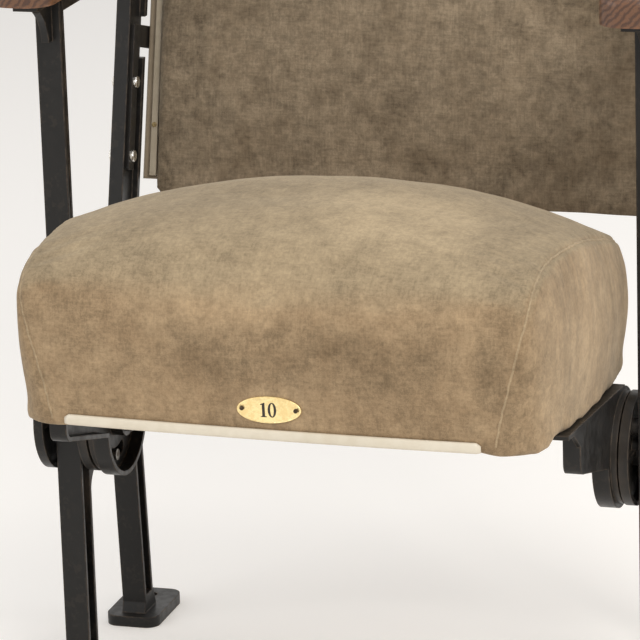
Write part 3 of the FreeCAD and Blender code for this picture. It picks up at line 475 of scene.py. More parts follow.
@dataclass(frozen=True)
class CastIron:
    """Old black enamel on cast iron, rubbed brown on its edges and in patches."""

    name: str
    coat: Colour
    rubbed: Colour
    wear: float = 0.9
    gloss: float = 0.4
    patches: tuple[Patch, ...] = ()

    def build(self, effects: Effects) -> bpy.types.Material:
        """Material of the castings."""
        finish = Finish(self.name, effects)
        graph = finish.graph
        worn = finish.effect(effects.edge_wear, "Mask", Radius=0.0022, Amount=self.wear)
        speckle = finish.effect(effects.mottle, "Mask", Large=30.0, Small=210.0, Balance=0.6)
        old = graph.plus(worn, graph.ramp(speckle, 0.62, 0.86), 0.07, clamp=True)
        old = finish.patched(old, self.patches, 0.3, clamp=True)
        grime = finish.effect(effects.mottle, "Mask", Large=14.0, Small=120.0, Balance=0.5)
        coat = graph.mix(graph.math("MULTIPLY", grime, 0.5), self.coat, toned(self.coat, 2.2))
        height = finish.effect(effects.cast_skin, "Height", Grain=750.0)
        dullness = graph.math("ADD", grime, old)
        finish.set(Base_Color=graph.mix(old, coat, self.rubbed), Specular_IOR_Level=0.3,
                   Metallic=graph.ramp(worn, 0.0, 1.0, 0.0, 0.35),
                   Roughness=graph.ramp(dullness, 0.0, 1.6, self.gloss - 0.08, self.gloss + 0.3),
                   Normal=finish.bump(height, 0.0006, 0.5, finish.soft_edges(0.0012)))
        return finish.material


@dataclass(frozen=True)
class Enamel:
    """Aged cream paint with dirt, scuffs and worn edges."""

    name: str
    fresh: Colour
    dirty: Colour
    under: Colour
    gloss: float = 0.4
    wear: float = 0.5

    def build(self, effects: Effects) -> bpy.types.Material:
        """Material of a painted or moulded surface."""
        finish = Finish(self.name, effects)
        graph = finish.graph
        dirt = finish.effect(effects.mottle, "Mask", Large=11.0, Small=90.0, Balance=0.45)
        colour = graph.mix(graph.math("MULTIPLY", dirt, 0.75), self.fresh, self.dirty)
        worn = finish.effect(effects.edge_wear, "Mask", Radius=0.0016, Amount=self.wear)
        colour = graph.mix(worn, colour, self.under)
        peel = graph.noise(finish.place, 420.0, 2.0)
        finish.set(Base_Color=colour, Roughness=graph.ramp(dirt, 0.0, 1.0, self.gloss, self.gloss + 0.22),
                   Specular_IOR_Level=0.5, Normal=finish.bump(peel, 0.0003, 0.35, finish.soft_edges(0.0008)))
        return finish.material


@dataclass(frozen=True)
class Timber:
    """Wood, stained or raw, whose grain runs along Y unless turned."""

    name: str
    early: Colour
    late: Colour
    gloss: float = 0.45
    along_y: bool = True
    rings: float = 90.0

    def build(self, effects: Effects) -> bpy.types.Material:
        """Material of the wood."""
        finish = Finish(self.name, effects)
        graph = finish.graph
        if self.along_y:
            turned = graph.stretch(finish.place, (1.0, 1.0, 1.0), (0.0, 0.0, -math.pi / 2.0))
        else:
            turned = finish.place
        figure = finish.effect(effects.grain, "Figure", Vector=turned, Rings=self.rings)
        pores = figure.node.outputs["Pores"]
        colour = graph.mix(graph.ramp(figure, 0.25, 0.75), self.early, self.late)
        colour = graph.mix(graph.math("MULTIPLY", pores, 0.6), colour, toned(self.late, 0.35))
        handled = finish.effect(effects.edge_wear, "Mask", Radius=0.004, Amount=0.5)
        colour = graph.mix(handled, colour, toned(self.early, 1.9))
        height = graph.math("SUBTRACT", figure, graph.math("MULTIPLY", pores, 0.8))
        finish.set(Base_Color=colour, Coat_Weight=0.15 if self.gloss < 0.5 else 0.0, Coat_Roughness=0.25,
                   Roughness=graph.ramp(figure, 0.0, 1.0, self.gloss - 0.08, self.gloss + 0.12),
                   Normal=finish.bump(height, 0.0003, 0.5))
        return finish.material


@dataclass(frozen=True)
class BareMetal:
    """Metal with fine scratches, tarnish and dull spots; on the steel the darkening is partly painted shade."""

    name: str
    bright: Colour
    tarnish: Colour
    rough: float = 0.35
    tarnish_and_shade_share: float = 0.5
    hammered: float = 0.0

    def build(self, effects: Effects) -> bpy.types.Material:
        """Material of the metal."""
        finish = Finish(self.name, effects)
        graph = finish.graph
        dull = finish.effect(effects.mottle, "Mask", Large=60.0, Small=420.0, Balance=0.55)
        dull = graph.math("MULTIPLY", graph.ramp(dull, 0.35, 0.8), self.tarnish_and_shade_share)
        scratch = graph.noise(graph.stretch(finish.place, (1.0, 9.0, 9.0), (0.3, 0.5, 0.2)), 420.0, 3.0)
        colour = graph.mix(dull, self.bright, self.tarnish)
        normal = finish.bump(scratch, 0.0002, 0.3)
        if self.hammered:
            dents = graph.noise(finish.place, 260.0, 1.0)
            normal = finish.bump(dents, self.hammered, 1.0, normal)
        finish.set(Base_Color=colour, Metallic=graph.ramp(dull, 0.0, 1.0, 1.0, 0.75),
                   Roughness=graph.math("ADD", graph.ramp(dull, 0.0, 1.0, self.rough, self.rough + 0.3),
                                        graph.ramp(scratch, 0.4, 0.7, -0.05, 0.08)), Normal=normal)
        return finish.material


@dataclass(frozen=True)
class Ink:
    """Flat dark lettering paint with worn spots."""

    name: str
    colour: Colour

    def build(self, effects: Effects) -> bpy.types.Material:
        """Material of the numerals."""
        finish = Finish(self.name, effects)
        graph = finish.graph
        thin = finish.effect(effects.mottle, "Mask", Large=200.0, Small=900.0, Balance=0.5)
        colour = graph.mix(graph.ramp(thin, 0.6, 0.9, 0.0, 0.4), self.colour, toned(self.colour, 3.0, 0.03))
        finish.set(Base_Color=colour, Roughness=graph.ramp(thin, 0.0, 1.0, 0.45, 0.65),
                   Normal=finish.bump(thin, 0.0001, 0.4))
        return finish.material


class Palette:
    """Every material of the seat, by the record's slot name."""

    def __init__(self) -> None:
        """Builds the finishes."""
        effects = Effects()
        self.materials = {recipe.name: recipe.build(effects) for recipe in self._recipes()}

    @staticmethod
    def _seat_patches() -> tuple[Patch, ...]:
        """Where the seat's velvet is paler, then where it is darker: the patch on top is partly a painted
        highlight, the one on the right side is painted light.
        """
        # paler top: partly crushed pile, partly a painted highlight
        return (Patch(on_frame(90.0, -120.0, 238.0), Vector((0.1, 0.09, 0.08)), 0.24),
                # painted light down the right side of the cushion
                Patch(on_frame(229.0, -50.0, 150.0), Vector((0.02, 0.14, 0.075)), 0.12),
                Patch(on_frame(0.0, -236.0, 190.0), Vector((0.22, 0.03, 0.03)), 0.05),
                Patch(on_frame(-70.0, -236.0, 105.0), Vector((0.13, 0.02, 0.02)), 0.1),
                Patch(on_frame(165.0, -70.0, 225.0), Vector((0.04, 0.1, 0.08)), -0.16),
                Patch(on_frame(-40.0, -60.0, 242.0), Vector((0.12, 0.05, 0.08)), -0.08),
                Patch(on_frame(20.0, -236.0, 145.0), Vector((0.18, 0.03, 0.035)), -0.17),
                Patch(on_frame(200.0, -230.0, 110.0), Vector((0.045, 0.05, 0.08)), -0.13))

    @staticmethod
    def _iron_patches() -> tuple[Patch, ...]:
        """Where the enamel is rubbed through: on the hinge cups and on the webs behind the front posts."""
        patches: list[Patch] = []
        for side in Side:
            hub = on_frame(side.value * 236.0, 0.0, 0.0)
            web = on_frame(side.value * 255.0, 30.0, -70.0)
            patches.append(Patch(hub, Vector((0.012, 0.05, 0.06)), 0.16))
            patches.append(Patch(web, Vector((0.02, 0.035, 0.03)), 0.3))
        return tuple(patches)

    def _recipes(self) -> list[Velvet | CastIron | BareMetal | Timber | Enamel | Ink]:
        """One recipe for each slot of the record, and the welts' own velvet, painted paler as a highlight along the
        seams.
        """
        back_patches = (Patch(on_frame(190.0, 210.0, 290.0), Vector((0.14, 0.1, 0.12)), 0.2),)
        return [
            Velvet("seat_velvet", (0.285, 0.195, 0.111), (0.385, 0.274, 0.161), (0.33, 0.265, 0.168), 0.6,
                   self._seat_patches()),
            Velvet("back_velvet", (0.15, 0.11, 0.069), (0.255, 0.196, 0.13), (0.24, 0.19, 0.13), 0.2,
                   back_patches, streak=0.12, fray=0.15, threads=0.1),
            # welts: the seat's velvet made paler, a painted highlight along the ridge of each seam
            Velvet("welt_velvet_painted_highlight", (0.36, 0.262, 0.158), (0.44, 0.33, 0.205), (0.39, 0.31, 0.2), 0.4),
            CastIron("cast_iron", (0.0085, 0.0078, 0.007), (0.14, 0.105, 0.075), wear=0.85, gloss=0.38,
                     patches=self._iron_patches()),
            CastIron("blackened_steel", (0.014, 0.013, 0.012), (0.14, 0.1, 0.07), wear=0.5, gloss=0.36),
            # steel given dark and heavily tarnished: partly grease, partly painted shade for the pivot pin's head,
            # which lies in shade
            BareMetal("steel", (0.2, 0.19, 0.17), (0.09, 0.07, 0.055), rough=0.42, tarnish_and_shade_share=0.9),
            BareMetal("nickel_plated_steel", (0.78, 0.76, 0.72), (0.45, 0.4, 0.32), rough=0.18, tarnish_and_shade_share=0.4),
            BareMetal("spring_steel", (0.45, 0.44, 0.43), (0.25, 0.2, 0.16), rough=0.3, tarnish_and_shade_share=0.5),
            BareMetal("bronze", (0.55, 0.34, 0.15), (0.2, 0.12, 0.06), rough=0.34, tarnish_and_shade_share=0.6),
            BareMetal("plate_brass", (0.95, 0.77, 0.4), (0.72, 0.5, 0.2), rough=0.3, tarnish_and_shade_share=0.4,
                      hammered=0.0005),
            BareMetal("brass_nails", (0.5, 0.38, 0.19), (0.22, 0.15, 0.07), rough=0.34, tarnish_and_shade_share=0.8),
            BareMetal("dark_nails", (0.12, 0.09, 0.06), (0.05, 0.035, 0.02), rough=0.42, tarnish_and_shade_share=0.8),
            Timber("armrest_wood", (0.155, 0.068, 0.03), (0.07, 0.028, 0.013), gloss=0.34),
            Timber("plywood", (0.47, 0.33, 0.19), (0.33, 0.21, 0.11), gloss=0.7, along_y=False, rings=30.0),
            Timber("hardboard", (0.2, 0.12, 0.065), (0.16, 0.09, 0.05), gloss=0.75, rings=200.0),
            Enamel("cream_paint", (0.4, 0.32, 0.225), (0.28, 0.215, 0.145), (0.16, 0.12, 0.08), gloss=0.42,
                   wear=0.45),
            Enamel("bead_paint", (0.53, 0.455, 0.34), (0.38, 0.31, 0.215), (0.2, 0.15, 0.1), gloss=0.42, wear=0.5),
            Enamel("cream_trim", (0.79, 0.715, 0.58), (0.66, 0.58, 0.44), (0.45, 0.36, 0.24), gloss=0.27,
                   wear=0.35),
            Ink("plate_ink", (0.018, 0.014, 0.010)),
        ]

    def __getitem__(self, slot: str) -> bpy.types.Material:
        """Material of a slot."""
        return self.materials[slot]

    def dress_nodes(self, nodes: dict[str, bpy.types.Object], record: dict) -> None:
        """Gives every CAD node the finish that the record names for it.

        Args:
            nodes: The CAD nodes by name.
            record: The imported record.
        """
        for entry in record["subparts"]:
            node = nodes[entry["node"]]
            finish = self.materials[entry["material_slot"]]
            if not node.material_slots:
                node.data.materials.append(finish)
            for holder in node.material_slots:
                holder.material = finish


def linked(name: str, data: bpy.types.ID) -> bpy.types.Object:
    """New object of the scene that shows some data."""
    piece = bpy.data.objects.new(name, data)
    bpy.context.scene.collection.objects.link(piece)
    return piece


def shade_smooth(mesh: bpy.types.Mesh, smooth: bool = True) -> None:
    """Shades every face of a mesh smooth, or flat."""
    mesh.polygons.foreach_set("use_smooth", [smooth] * len(mesh.polygons))


def new_piece(name: str, mesh: bpy.types.Mesh, material: bpy.types.Material) -> bpy.types.Object:
    """Object at the origin that shows a mesh in one finish, smoothly shaded."""
    piece = linked(name, mesh)
    mesh.materials.clear()
    mesh.materials.append(material)
    shade_smooth(mesh)
    return piece


def mesh_of(name: str, points: Sequence[Vector], faces: Sequence[Sequence[int]]) -> bpy.types.Mesh:
    """Mesh with its doubles merged and its normals outwards."""
    mesh = bpy.data.meshes.new(name)
    mesh.from_pydata([tuple(p) for p in points], [], [tuple(f) for f in faces])
    work = bmesh.new()
    work.from_mesh(mesh)
    bmesh.ops.remove_doubles(work, verts=work.verts, dist=1e-6)
    bmesh.ops.recalc_face_normals(work, faces=work.faces)
    work.to_mesh(mesh)
    work.free()
    return mesh


def rings_mesh(name: str, rings: Sequence[Sequence[Vector]]) -> bpy.types.Mesh:
    """Closed skin over rings that all have the same number of points."""
    count = len(rings[0])
    points = [point for ring in rings for point in ring]
    faces: list[Sequence[int]] = []
    for k in range(len(rings) - 1):
        for i in range(count):
            j = (i + 1) % count
            faces.append((k * count + i, k * count + j, (k + 1) * count + j, (k + 1) * count + i))
    faces.append(tuple(range(count)))
    faces.append(tuple((len(rings) - 1) * count + i for i in range(count)))
    return mesh_of(name, points, faces)


def tree_of(points: Sequence[Vector]) -> KDTree:
    """Search tree over some points."""
    tree = KDTree(len(points))
    for index, point in enumerate(points):
        tree.insert(point, index)
    tree.balance()
    return tree


def bake(piece: bpy.types.Object) -> None:
    """Applies every modifier of a piece to its mesh."""
    graph = bpy.context.evaluated_depsgraph_get()
    graph.update()
    result = bpy.data.meshes.new_from_object(piece.evaluated_get(graph), depsgraph=graph)
    old = piece.data
    piece.modifiers.clear()
    piece.data = result
    bpy.data.meshes.remove(old)


def move_out(piece: bpy.types.Object, steps: Sequence[float]) -> None:
    """Moves every vertex of a piece along its normal, by a step in metres each."""
    vertices = piece.data.vertices
    moved = [vertex.co + vertex.normal * step for vertex, step in zip(vertices, steps)]
    vertices.foreach_set("co", [value for point in moved for value in point])
    piece.data.update()


def modify(piece: bpy.types.Object, kind: str, **settings: object) -> bpy.types.Modifier:
    """Adds a modifier with its settings."""
    modifier = piece.modifiers.new(kind.lower(), kind)
    for name, value in settings.items():
        setattr(modifier, name, value)
    return modifier


def sampled(path: Sequence[Vector], spacing: float) -> list[Vector]:
    """Smooth open line through some points, resampled evenly.

    Args:
        path: Points that the line passes through.
        spacing: Distance between the new points, in metres.

    Returns:
        The points of the line.
    """
    dense: list[Vector] = []
    padded = [path[0] * 2 - path[1], *path, path[-1] * 2 - path[-2]]
    for k in range(1, len(padded) - 2):
        a, b, c, d = padded[k - 1:k + 3]
        for step in range(16):
            t = step / 16.0
            dense.append(0.5 * ((2 * b) + (c - a) * t + (2 * a - 5 * b + 4 * c - d) * t * t
                                + (3 * b - a - 3 * c + d) * t ** 3))
    dense.append(path[-1].copy())
    total = sum((q - p).length for p, q in zip(dense, dense[1:]))
    count = max(2, round(total / spacing))
    wanted, travelled, result, k = total / count, 0.0, [dense[0]], 0
    for step in range(1, count):
        goal = step * wanted
        while travelled + (dense[k + 1] - dense[k]).length < goal:
            travelled += (dense[k + 1] - dense[k]).length
            k += 1
        run = dense[k + 1] - dense[k]
        result.append(dense[k] + run * ((goal - travelled) / run.length))
    result.append(dense[-1])
    return result


@dataclass(frozen=True)
class Stuffing:
    """How full a cover is stuffed. Lengths are in metres."""

    cap: float                     # furthest that a point of the cover may move
    dent_size: float
    dent_height: float
    dent_shift: float              # moves the pattern of the dents
    start_inset: float = 0.003     # how far the form is shrunk before it swells
    pressure: float = 4.0


class Upholsterer:
    """Turns rough closed forms into stuffed covers by cloth simulation."""

    VOXEL = 0.005
    FRAMES = 20
    CLOTH = {"quality": 5, "mass": 0.3, "tension_stiffness": 12.0, "compression_stiffness": 12.0,
             "shear_stiffness": 5.0, "bending_stiffness": 0.4, "use_pressure": True}

    def stuff(self, piece: bpy.types.Object, held: Callable[[Vector], float], stuffing: Stuffing) -> None:
        """Remeshes a form, swells its cover, applies the result and adds the slow dents of old stuffing.

        Args:
            piece: The closed form, replaced by its stuffed cover.
            held: Share from 0 to 1 by which a point is held in place.
            stuffing: How full it is stuffed.
        """
        modify(piece, "REMESH", mode="VOXEL", voxel_size=self.VOXEL, adaptivity=0.0)
        modify(piece, "SMOOTH", factor=0.5, iterations=4)
        bake(piece)
        keep = [held(vertex.co) for vertex in piece.data.vertices]
        move_out(piece, [-stuffing.start_inset * (1.0 - share) for share in keep])
        self._swell(piece, keep, stuffing)
        modify(piece, "SMOOTH", factor=0.5, iterations=2)
        modify(piece, "SUBSURF", levels=1, render_levels=1)
        bake(piece)
        shift = Vector((stuffing.dent_shift, stuffing.dent_shift, stuffing.dent_shift))
        move_out(piece, [stuffing.dent_height * noise.fractal(vertex.co / stuffing.dent_size + shift, 0.9, 2.0, 3)
                         for vertex in piece.data.vertices])

    def _swell(self, piece: bpy.types.Object, keep: list[float], stuffing: Stuffing) -> None:
        """Runs the cloth and moves the cover by what it gives."""
        mesh = piece.data
        start = [v.co.copy() for v in mesh.vertices]
        group = piece.vertex_groups.new(name="held")
        for index, share in enumerate(keep):
            if share > 0.0:
                group.add([index], share, "REPLACE")
        cloth = modify(piece, "CLOTH")
        for name, value in self.CLOTH.items():
            setattr(cloth.settings, name, value)
        cloth.settings.uniform_pressure_force = stuffing.pressure
        cloth.settings.vertex_group_mass = "held"
        cloth.settings.effector_weights.gravity = 0.0
        cloth.point_cache.frame_start, cloth.point_cache.frame_end = 1, self.FRAMES
        scene = bpy.context.scene
        for frame in range(1, self.FRAMES + 1):
            scene.frame_set(frame)
        graph = bpy.context.evaluated_depsgraph_get()
        moved = [v.co.copy() for v in piece.evaluated_get(graph).data.vertices]
        piece.modifiers.clear()
        scene.frame_set(1)
        capped: list[float] = []
        for old, new in zip(start, moved):
            step = new - old
            if step.length > 1e-9:
                step *= stuffing.cap * math.tanh(step.length / stuffing.cap) / step.length
            capped.extend(old + step)
        mesh.vertices.foreach_set("co", capped)
        mesh.update()
        piece.vertex_groups.clear()

    @staticmethod
    def press_seams(piece: bpy.types.Object, paths: Sequence[Sequence[Vector]], depth: float, width: float,
                    pucker: float) -> None:
        """Draws a cover in along its seams, with small puckers across them.

        Args:
            piece: The cover.
            paths: Lines of the seams, closely sampled.
            depth: How deep a seam lies, in metres.
            width: Half width of its valley, in metres.
            pucker: Height of the puckers, in metres.
        """
        tree = tree_of([point for path in paths for point in path])
        along: list[float] = []
        for path in paths:
            travelled = 0.0
            for k, point in enumerate(path):
                travelled += (point - path[k - 1]).length if k else 0.0
                along.append(travelled)
        steps: list[float] = []
        for vertex in piece.data.vertices:
            _, index, distance = tree.find(vertex.co)
            valley = depth * math.exp(-(distance / width) ** 2)
            ripple = noise.noise(Vector((along[index] * 95.0, distance * 25.0, 0.0)))
            fade = ease(distance / width) * math.exp(-distance / (width * 2.4))
            steps.append(-valley - pucker * ripple * fade)
        move_out(piece, steps)


class RepeatTrees:
    """Geometry Nodes trees for what repeats along or follows a path."""

    def __init__(self, palette: Palette) -> None:
        """Keeps the finishes that the trees end in."""
        self.palette = palette

    @staticmethod
    def _start(name: str, sizes: dict[str, float]) -> tuple[Graph, bpy.types.Node, bpy.types.Node,
                                                            bpy.types.NodeSocket]:
        """Starts a geometry tree: its graph, its input and output nodes, and its path as a curve."""
        tree = bpy.data.node_groups.new(name, "GeometryNodeTree")
        tree.interface.new_socket("Path", in_out="INPUT", socket_type="NodeSocketGeometry")
        for label, value in sizes.items():
            socket = tree.interface.new_socket(label, in_out="INPUT", socket_type="NodeSocketFloat")
            socket.default_value = value
        tree.interface.new_socket("Geometry", in_out="OUTPUT", socket_type="NodeSocketGeometry")
        graph, given, result = Graph(tree), tree.nodes.new("NodeGroupInput"), tree.nodes.new("NodeGroupOutput")
        curve = graph.add("GeometryNodeMeshToCurve", {0: given.outputs["Path"]}).outputs[0]
        return graph, given, result, curve

    def _finish(self, graph: Graph, result: bpy.types.Node, geometry: bpy.types.NodeSocket, slot: str) -> None:
        """Ends a tree in real geometry with its finish."""
        real = graph.add("GeometryNodeRealizeInstances", {0: geometry}).outputs[0]
        smooth = graph.add("GeometryNodeSetShadeSmooth", {0: real}).outputs[0]
        dressed = graph.add("GeometryNodeSetMaterial", {"Geometry": smooth, "Material": self.palette[slot]})
        graph.tree.links.new(dressed.outputs[0], result.inputs[0])

    def welt(self, slot: str) -> bpy.types.NodeTree:
        """Round welt that follows a path."""
        graph, given, result, curve = self._start(f"welt_{slot}", {"Radius": 0.001})
        ring = graph.add("GeometryNodeCurvePrimitiveCircle", {"Resolution": 8, "Radius": given.outputs["Radius"]})
        tube = graph.add("GeometryNodeCurveToMesh", {"Curve": curve, "Profile Curve": ring.outputs[0],
                                                     "Fill Caps": True})
        self._finish(graph, result, tube.outputs[0], slot)
        return graph.tree

    def tacks(self, slot: str) -> bpy.types.NodeTree:
        """Row of domed tack heads that follows a path."""
        graph, given, result, curve = self._start(f"tacks_{slot}", {"Spacing": 0.03, "Head Radius": 0.003,
                                                                    "Head Height": 0.0015})
        spaced = graph.add("GeometryNodeResampleCurve", {"Curve": curve}, mode="LENGTH")
        graph.tree.links.new(given.outputs["Spacing"], spaced.inputs["Length"])
        ball = graph.add("GeometryNodeMeshUVSphere", {"Segments": 12, "Rings": 6, "Radius": 1.0}).outputs[0]
        radius, height = given.outputs["Head Radius"], given.outputs["Head Height"]
        size = graph.add("ShaderNodeCombineXYZ", {0: radius, 1: radius, 2: height}).outputs[0]
        rows = graph.add("GeometryNodeInstanceOnPoints", {"Points": spaced.outputs[0], "Instance": ball,
                                                          "Scale": size}).outputs[0]
        self._finish(graph, result, rows, slot)
        return graph.tree

    @staticmethod
    def run(name: str, tree: bpy.types.NodeTree, path: Sequence[Vector], material: bpy.types.Material,
            closed: bool = False, **sizes: float) -> bpy.types.Object:
        """Runs a tree on a path and gives its plain mesh as a piece.

        Args:
            name: Name of the piece.
            tree: The geometry tree.
            path: Line that it follows.
            material: Finish of the piece.
            closed: Whether the line ends where it starts.
            **sizes: Values of the tree's named inputs, underscores for blanks.

        Returns:
            The piece.
        """
        edges = [(k, k + 1) for k in range(len(path) - 1)]
        if closed:
            edges.append((len(path) - 1, 0))
        mesh = bpy.data.meshes.new(name)
        mesh.from_pydata([tuple(point) for point in path], edges, [])
        piece = linked(name, mesh)
        modifier = piece.modifiers.new("tree", "NODES")
        modifier.node_group = tree
        named = {item.name: item.identifier for item in tree.interface.items_tree if item.in_out == "INPUT"}
        for label, value in sizes.items():
            modifier[named[label.replace("_", " ")]] = value
        bake(piece)
        piece.data.materials.clear()
        piece.data.materials.append(material)
        piece.data.name = name
        return piece


@dataclass
class SeatCushion:
    """Sprung seat cushion with its seams, and the tacks of its underside."""

    palette: Palette
    trees: RepeatTrees
    front_y: float = SEAT_FRONT_Y
    rear_y: float = 143.0
    base_front_z: float = 77.0
    base_slope: float = -0.092
    shoulder: float = 32.0
    rear_shoulder: float = 47.0
    side_bow: float = 3.5
    front_fullness: float = 1.7                 # power of the crown's fall towards the sides
    rear_fullness: float = 2.4
    plate_reach: tuple[float, float] = (27.0, 12.0)     # oval of the cover that lies flat behind the plate
    foot_z: float = 100.0                       # the front lies flat from here down
    turn_under: float = 30.0
    board_show: float = 6.0
    cloth: float = 0.8
    tack_inset: float = 22.0
    hang: tuple[float, float] = (3.0, 6.0)      # how far the cover hangs below the board, left and right
    stuffing: Stuffing = Stuffing(cap=0.009, dent_size=0.085, dent_height=0.0011, dent_shift=3.1)

    def base_z(self, y: float) -> float:
        """Height of the underside."""
        return self.base_front_z + self.base_slope * (y - self.front_y)

    def _shape(self) -> dict[str, Callable[[float], float]]:
        """Half widths and heights of the cushion along Y."""
        places = [self.front_y, -223.0, -205.0, -180.0, -130.0, -60.0, 20.0, 90.0, 125.0, 137.0, self.rear_y]
        return {
            "low": smooth_curve(places, [192, 208, 218, 222, 225, 225, 222, 216, 205, 195, 184]),
            "high": smooth_curve(places, [211, 218, 222, 224.5, 227, 228, 227.5, 223, 214, 206, 196]),
            "side": smooth_curve(places, [196, 206, 215, 220, 222, 217, 201, 181, 168, 159, 151]),
            "crown": smooth_curve(places, [202, 213.5, 223, 232, 242, 243, 229, 203, 186, 172, 157]),
        }

    def _depths(self) -> list[float]:
        """Places of the rings along Y, closest at the front and the rear."""
        front = [self.front_y + 1.2 * k * k for k in range(6)]
        middle = [mix_values(-196.0, 118.0, k / 34.0) for k in range(35)]
        rear = [self.rear_y - 0.9 * k * k for k in range(5, -1, -1)]
        return front + middle + rear

    def section(self, y: float) -> list[Vector]:
        """Closed ring of the cushion at one depth, as points of the frame."""
        shape = self._shape()
        low, high = shape["low"](y), shape["high"](y)
        side, crown = shape["side"](y), shape["crown"](y)
        base = self.base_z(y)
        radius = mix_values(self.shoulder, self.rear_shoulder, rise(y, -120.0, 140.0))
        half: list[tuple[float, float]] = [(low * k / 10.0, base) for k in range(10)]
        top_of_side = side - radius
        for k in range(16):
            share = k / 15.0
            out = mix_values(low, high, ease(share) * 0.6 + share * 0.4) + self.side_bow * math.sin(math.pi * share)
            half.append((out, mix_values(base, top_of_side, share)))
        fullness = mix_values(self.front_fullness, self.rear_fullness, rise(y, -150.0, 150.0))
        flat = math.atan(fullness * (crown - side) / (high - radius))
        for k in range(1, 13):
            turn = (math.pi / 2.0 - flat) * k / 12.0
            half.append((high - radius + radius * math.cos(turn), top_of_side + radius * math.sin(turn)))
        inner, shoulder_top = half[-1]
        for k in range(1, 18):
            share = k / 18.0
            half.append((inner * (1.0 - share),
                         shoulder_top + (crown - shoulder_top) * (1.0 - (1.0 - share) ** fullness)))
        half.append((0.0, crown))
        ring = [on_frame(x, y, z) for x, z in half]
        ring += [on_frame(-x, y, z) for x, z in reversed(half[1:-1])]
        return ring

    def seam(self, side: Side) -> list[Vector]:
        """Guide points of one seam: up the front, over the shoulder and back along the top."""
        guide = [(185.5, -234.0, 79.0), (190.0, -236.0, 100.0), (196.0, -236.5, 125.0), (202.0, -235.5, 148.0),
                 (208.0, -232.0, 170.0), (212.5, -222.0, 190.0), (215.0, -207.0, 205.0), (217.0, -185.0, 216.0),
                 (220.0, -148.0, 221.0), (222.0, -90.0, 214.0), (222.0, -17.0, 201.0), (219.0, 50.0, 181.0),
                 (212.0, 105.0, 163.0), (203.0, 134.0, 140.0), (192.0, 142.0, 105.0), (184.0, 143.0, 50.0)]
        return [on_frame(side.value * x, y, z) for x, y, z in guide]

    def front_hold(self, point: Vector) -> float:
        """Share by which a point lies flat on the front, behind the plate and the moulding."""
        x, y, z = on_drawing(point)
        if y > self.front_y + 8.0:
            return 0.0
        wide, high = self.plate_reach
        return max(rise(math.hypot(x / wide, (z - PLATE_Z) / high), 1.9, -0.7), rise(z, self.foot_z, -14.0))

    def press_front(self, cushion: bpy.types.Object) -> None:
        """Presses the cover flat behind plate and moulding, and turns its edge under the board."""
        face = (self.front_y + POST_FRONT_Y) * MM
        low = self._shape()["low"]
        for vertex in cushion.data.vertices:
            if vertex.co.y < face:
                vertex.co.y = mix_values(vertex.co.y, face, self.front_hold(vertex.co))
            x, y, z = on_drawing(vertex.co)
            above = z - self.base_z(y)
            corner = rise(abs(x), 150.0, 40.0) * rise(y, -176.0, -24.0)
            vertex.co.z -= self.hang[x > 0] * MM * corner * rise(above, 28.0, -28.0)
            if above < 4.0:
                inset = min(low(y) - abs(x), y - self.front_y, self.rear_y - y)
                vertex.co.z += (self.board_show * rise(inset, self.turn_under, 6.0) - self.cloth) * MM
        cushion.data.update()

    def _holder(self, seams: Sequence[Sequence[Vector]]) -> Callable[[Vector], float]:
        """How far the board, the seams, the plate and the moulding hold a point of the cover."""
        near = tree_of([point for seam in seams for point in seam])
        valley = 0.009

        def held(point: Vector) -> float:
            _, y, z = on_drawing(point)
            seam = math.exp(-(near.find(point)[2] / valley) ** 2)
            return max(rise(z - self.base_z(y), 16.0, -12.0), 0.8 * seam, 0.9 * self.front_hold(point))

        return held

    def build(self) -> bpy.types.Object:
        """Builds, stuffs and dresses the cushion and its seams."""
        form = rings_mesh("seat_cushion_velvet", [self.section(y) for y in self._depths()])
        cushion = new_piece("seat_cushion_velvet", form, self.palette["seat_velvet"])
        seams = [sampled(self.seam(side), LINE_STEP) for side in Side]
        upholsterer = Upholsterer()
        upholsterer.stuff(cushion, self._holder(seams), self.stuffing)
        self.press_front(cushion)
        skin = BVHTree.FromObject(cushion, bpy.context.evaluated_depsgraph_get())
        laid = [[skin.find_nearest(point)[0] for point in seam] for seam in seams]
        laid = [sampled(path[::6], LINE_STEP) for path in laid]
        upholsterer.press_seams(cushion, laid, depth=0.0016, width=0.0032, pucker=0.0011)
        shade_smooth(cushion.data)
        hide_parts("seat_cushion")
        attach(cushion, Body.SEAT.value)
        self._build_welts(cushion, laid)
        return cushion

    def _build_welts(self, cushion: bpy.types.Object, seams: Sequence[Sequence[Vector]]) -> None:
        """Lays a welt into each seam, sunk into the cover."""
        tree = self.trees.welt("welt_velvet_painted_highlight")
        skin = BVHTree.FromObject(cushion, bpy.context.evaluated_depsgraph_get())
        sunk = 0.0005
        for side, seam in zip(Side, seams):
            line: list[Vector] = []
            for point in seam[::2]:
                spot, normal, _, _ = skin.find_nearest(point)
                line.append(spot - normal * sunk)
            # the welt's velvet is paler than the cover's: a painted highlight along the seam
            welt = self.trees.run(f"seat_seam_{side.word}", tree, line, self.palette["welt_velvet_painted_highlight"], Radius=0.0012)
            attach(welt, Body.SEAT.value)

    def build_tacks(self) -> bpy.types.Object:
        """Row of tacks that holds the cover to the underside of the board."""
        low = self._shape()["low"]
        first, last = self.front_y + self.tack_inset, self.rear_y - self.tack_inset
        depths = [mix_values(first, last, k / 40.0) for k in range(41)]
        side = [(low(y) - self.tack_inset, y) for y in depths]
        outline = side + [(-x, y) for x, y in reversed(side)]
        line = [on_frame(x, y, self.base_z(y) - self.cloth) for x, y in outline]
        tacks = self.trees.run("seat_cover_tacks", self.trees.tacks("dark_nails"), line,
                               self.palette["dark_nails"], closed=True, Spacing=0.028, Head_Radius=0.0035,
                               Head_Height=0.0012)
        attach(tacks, Body.SEAT.value)
        return tacks


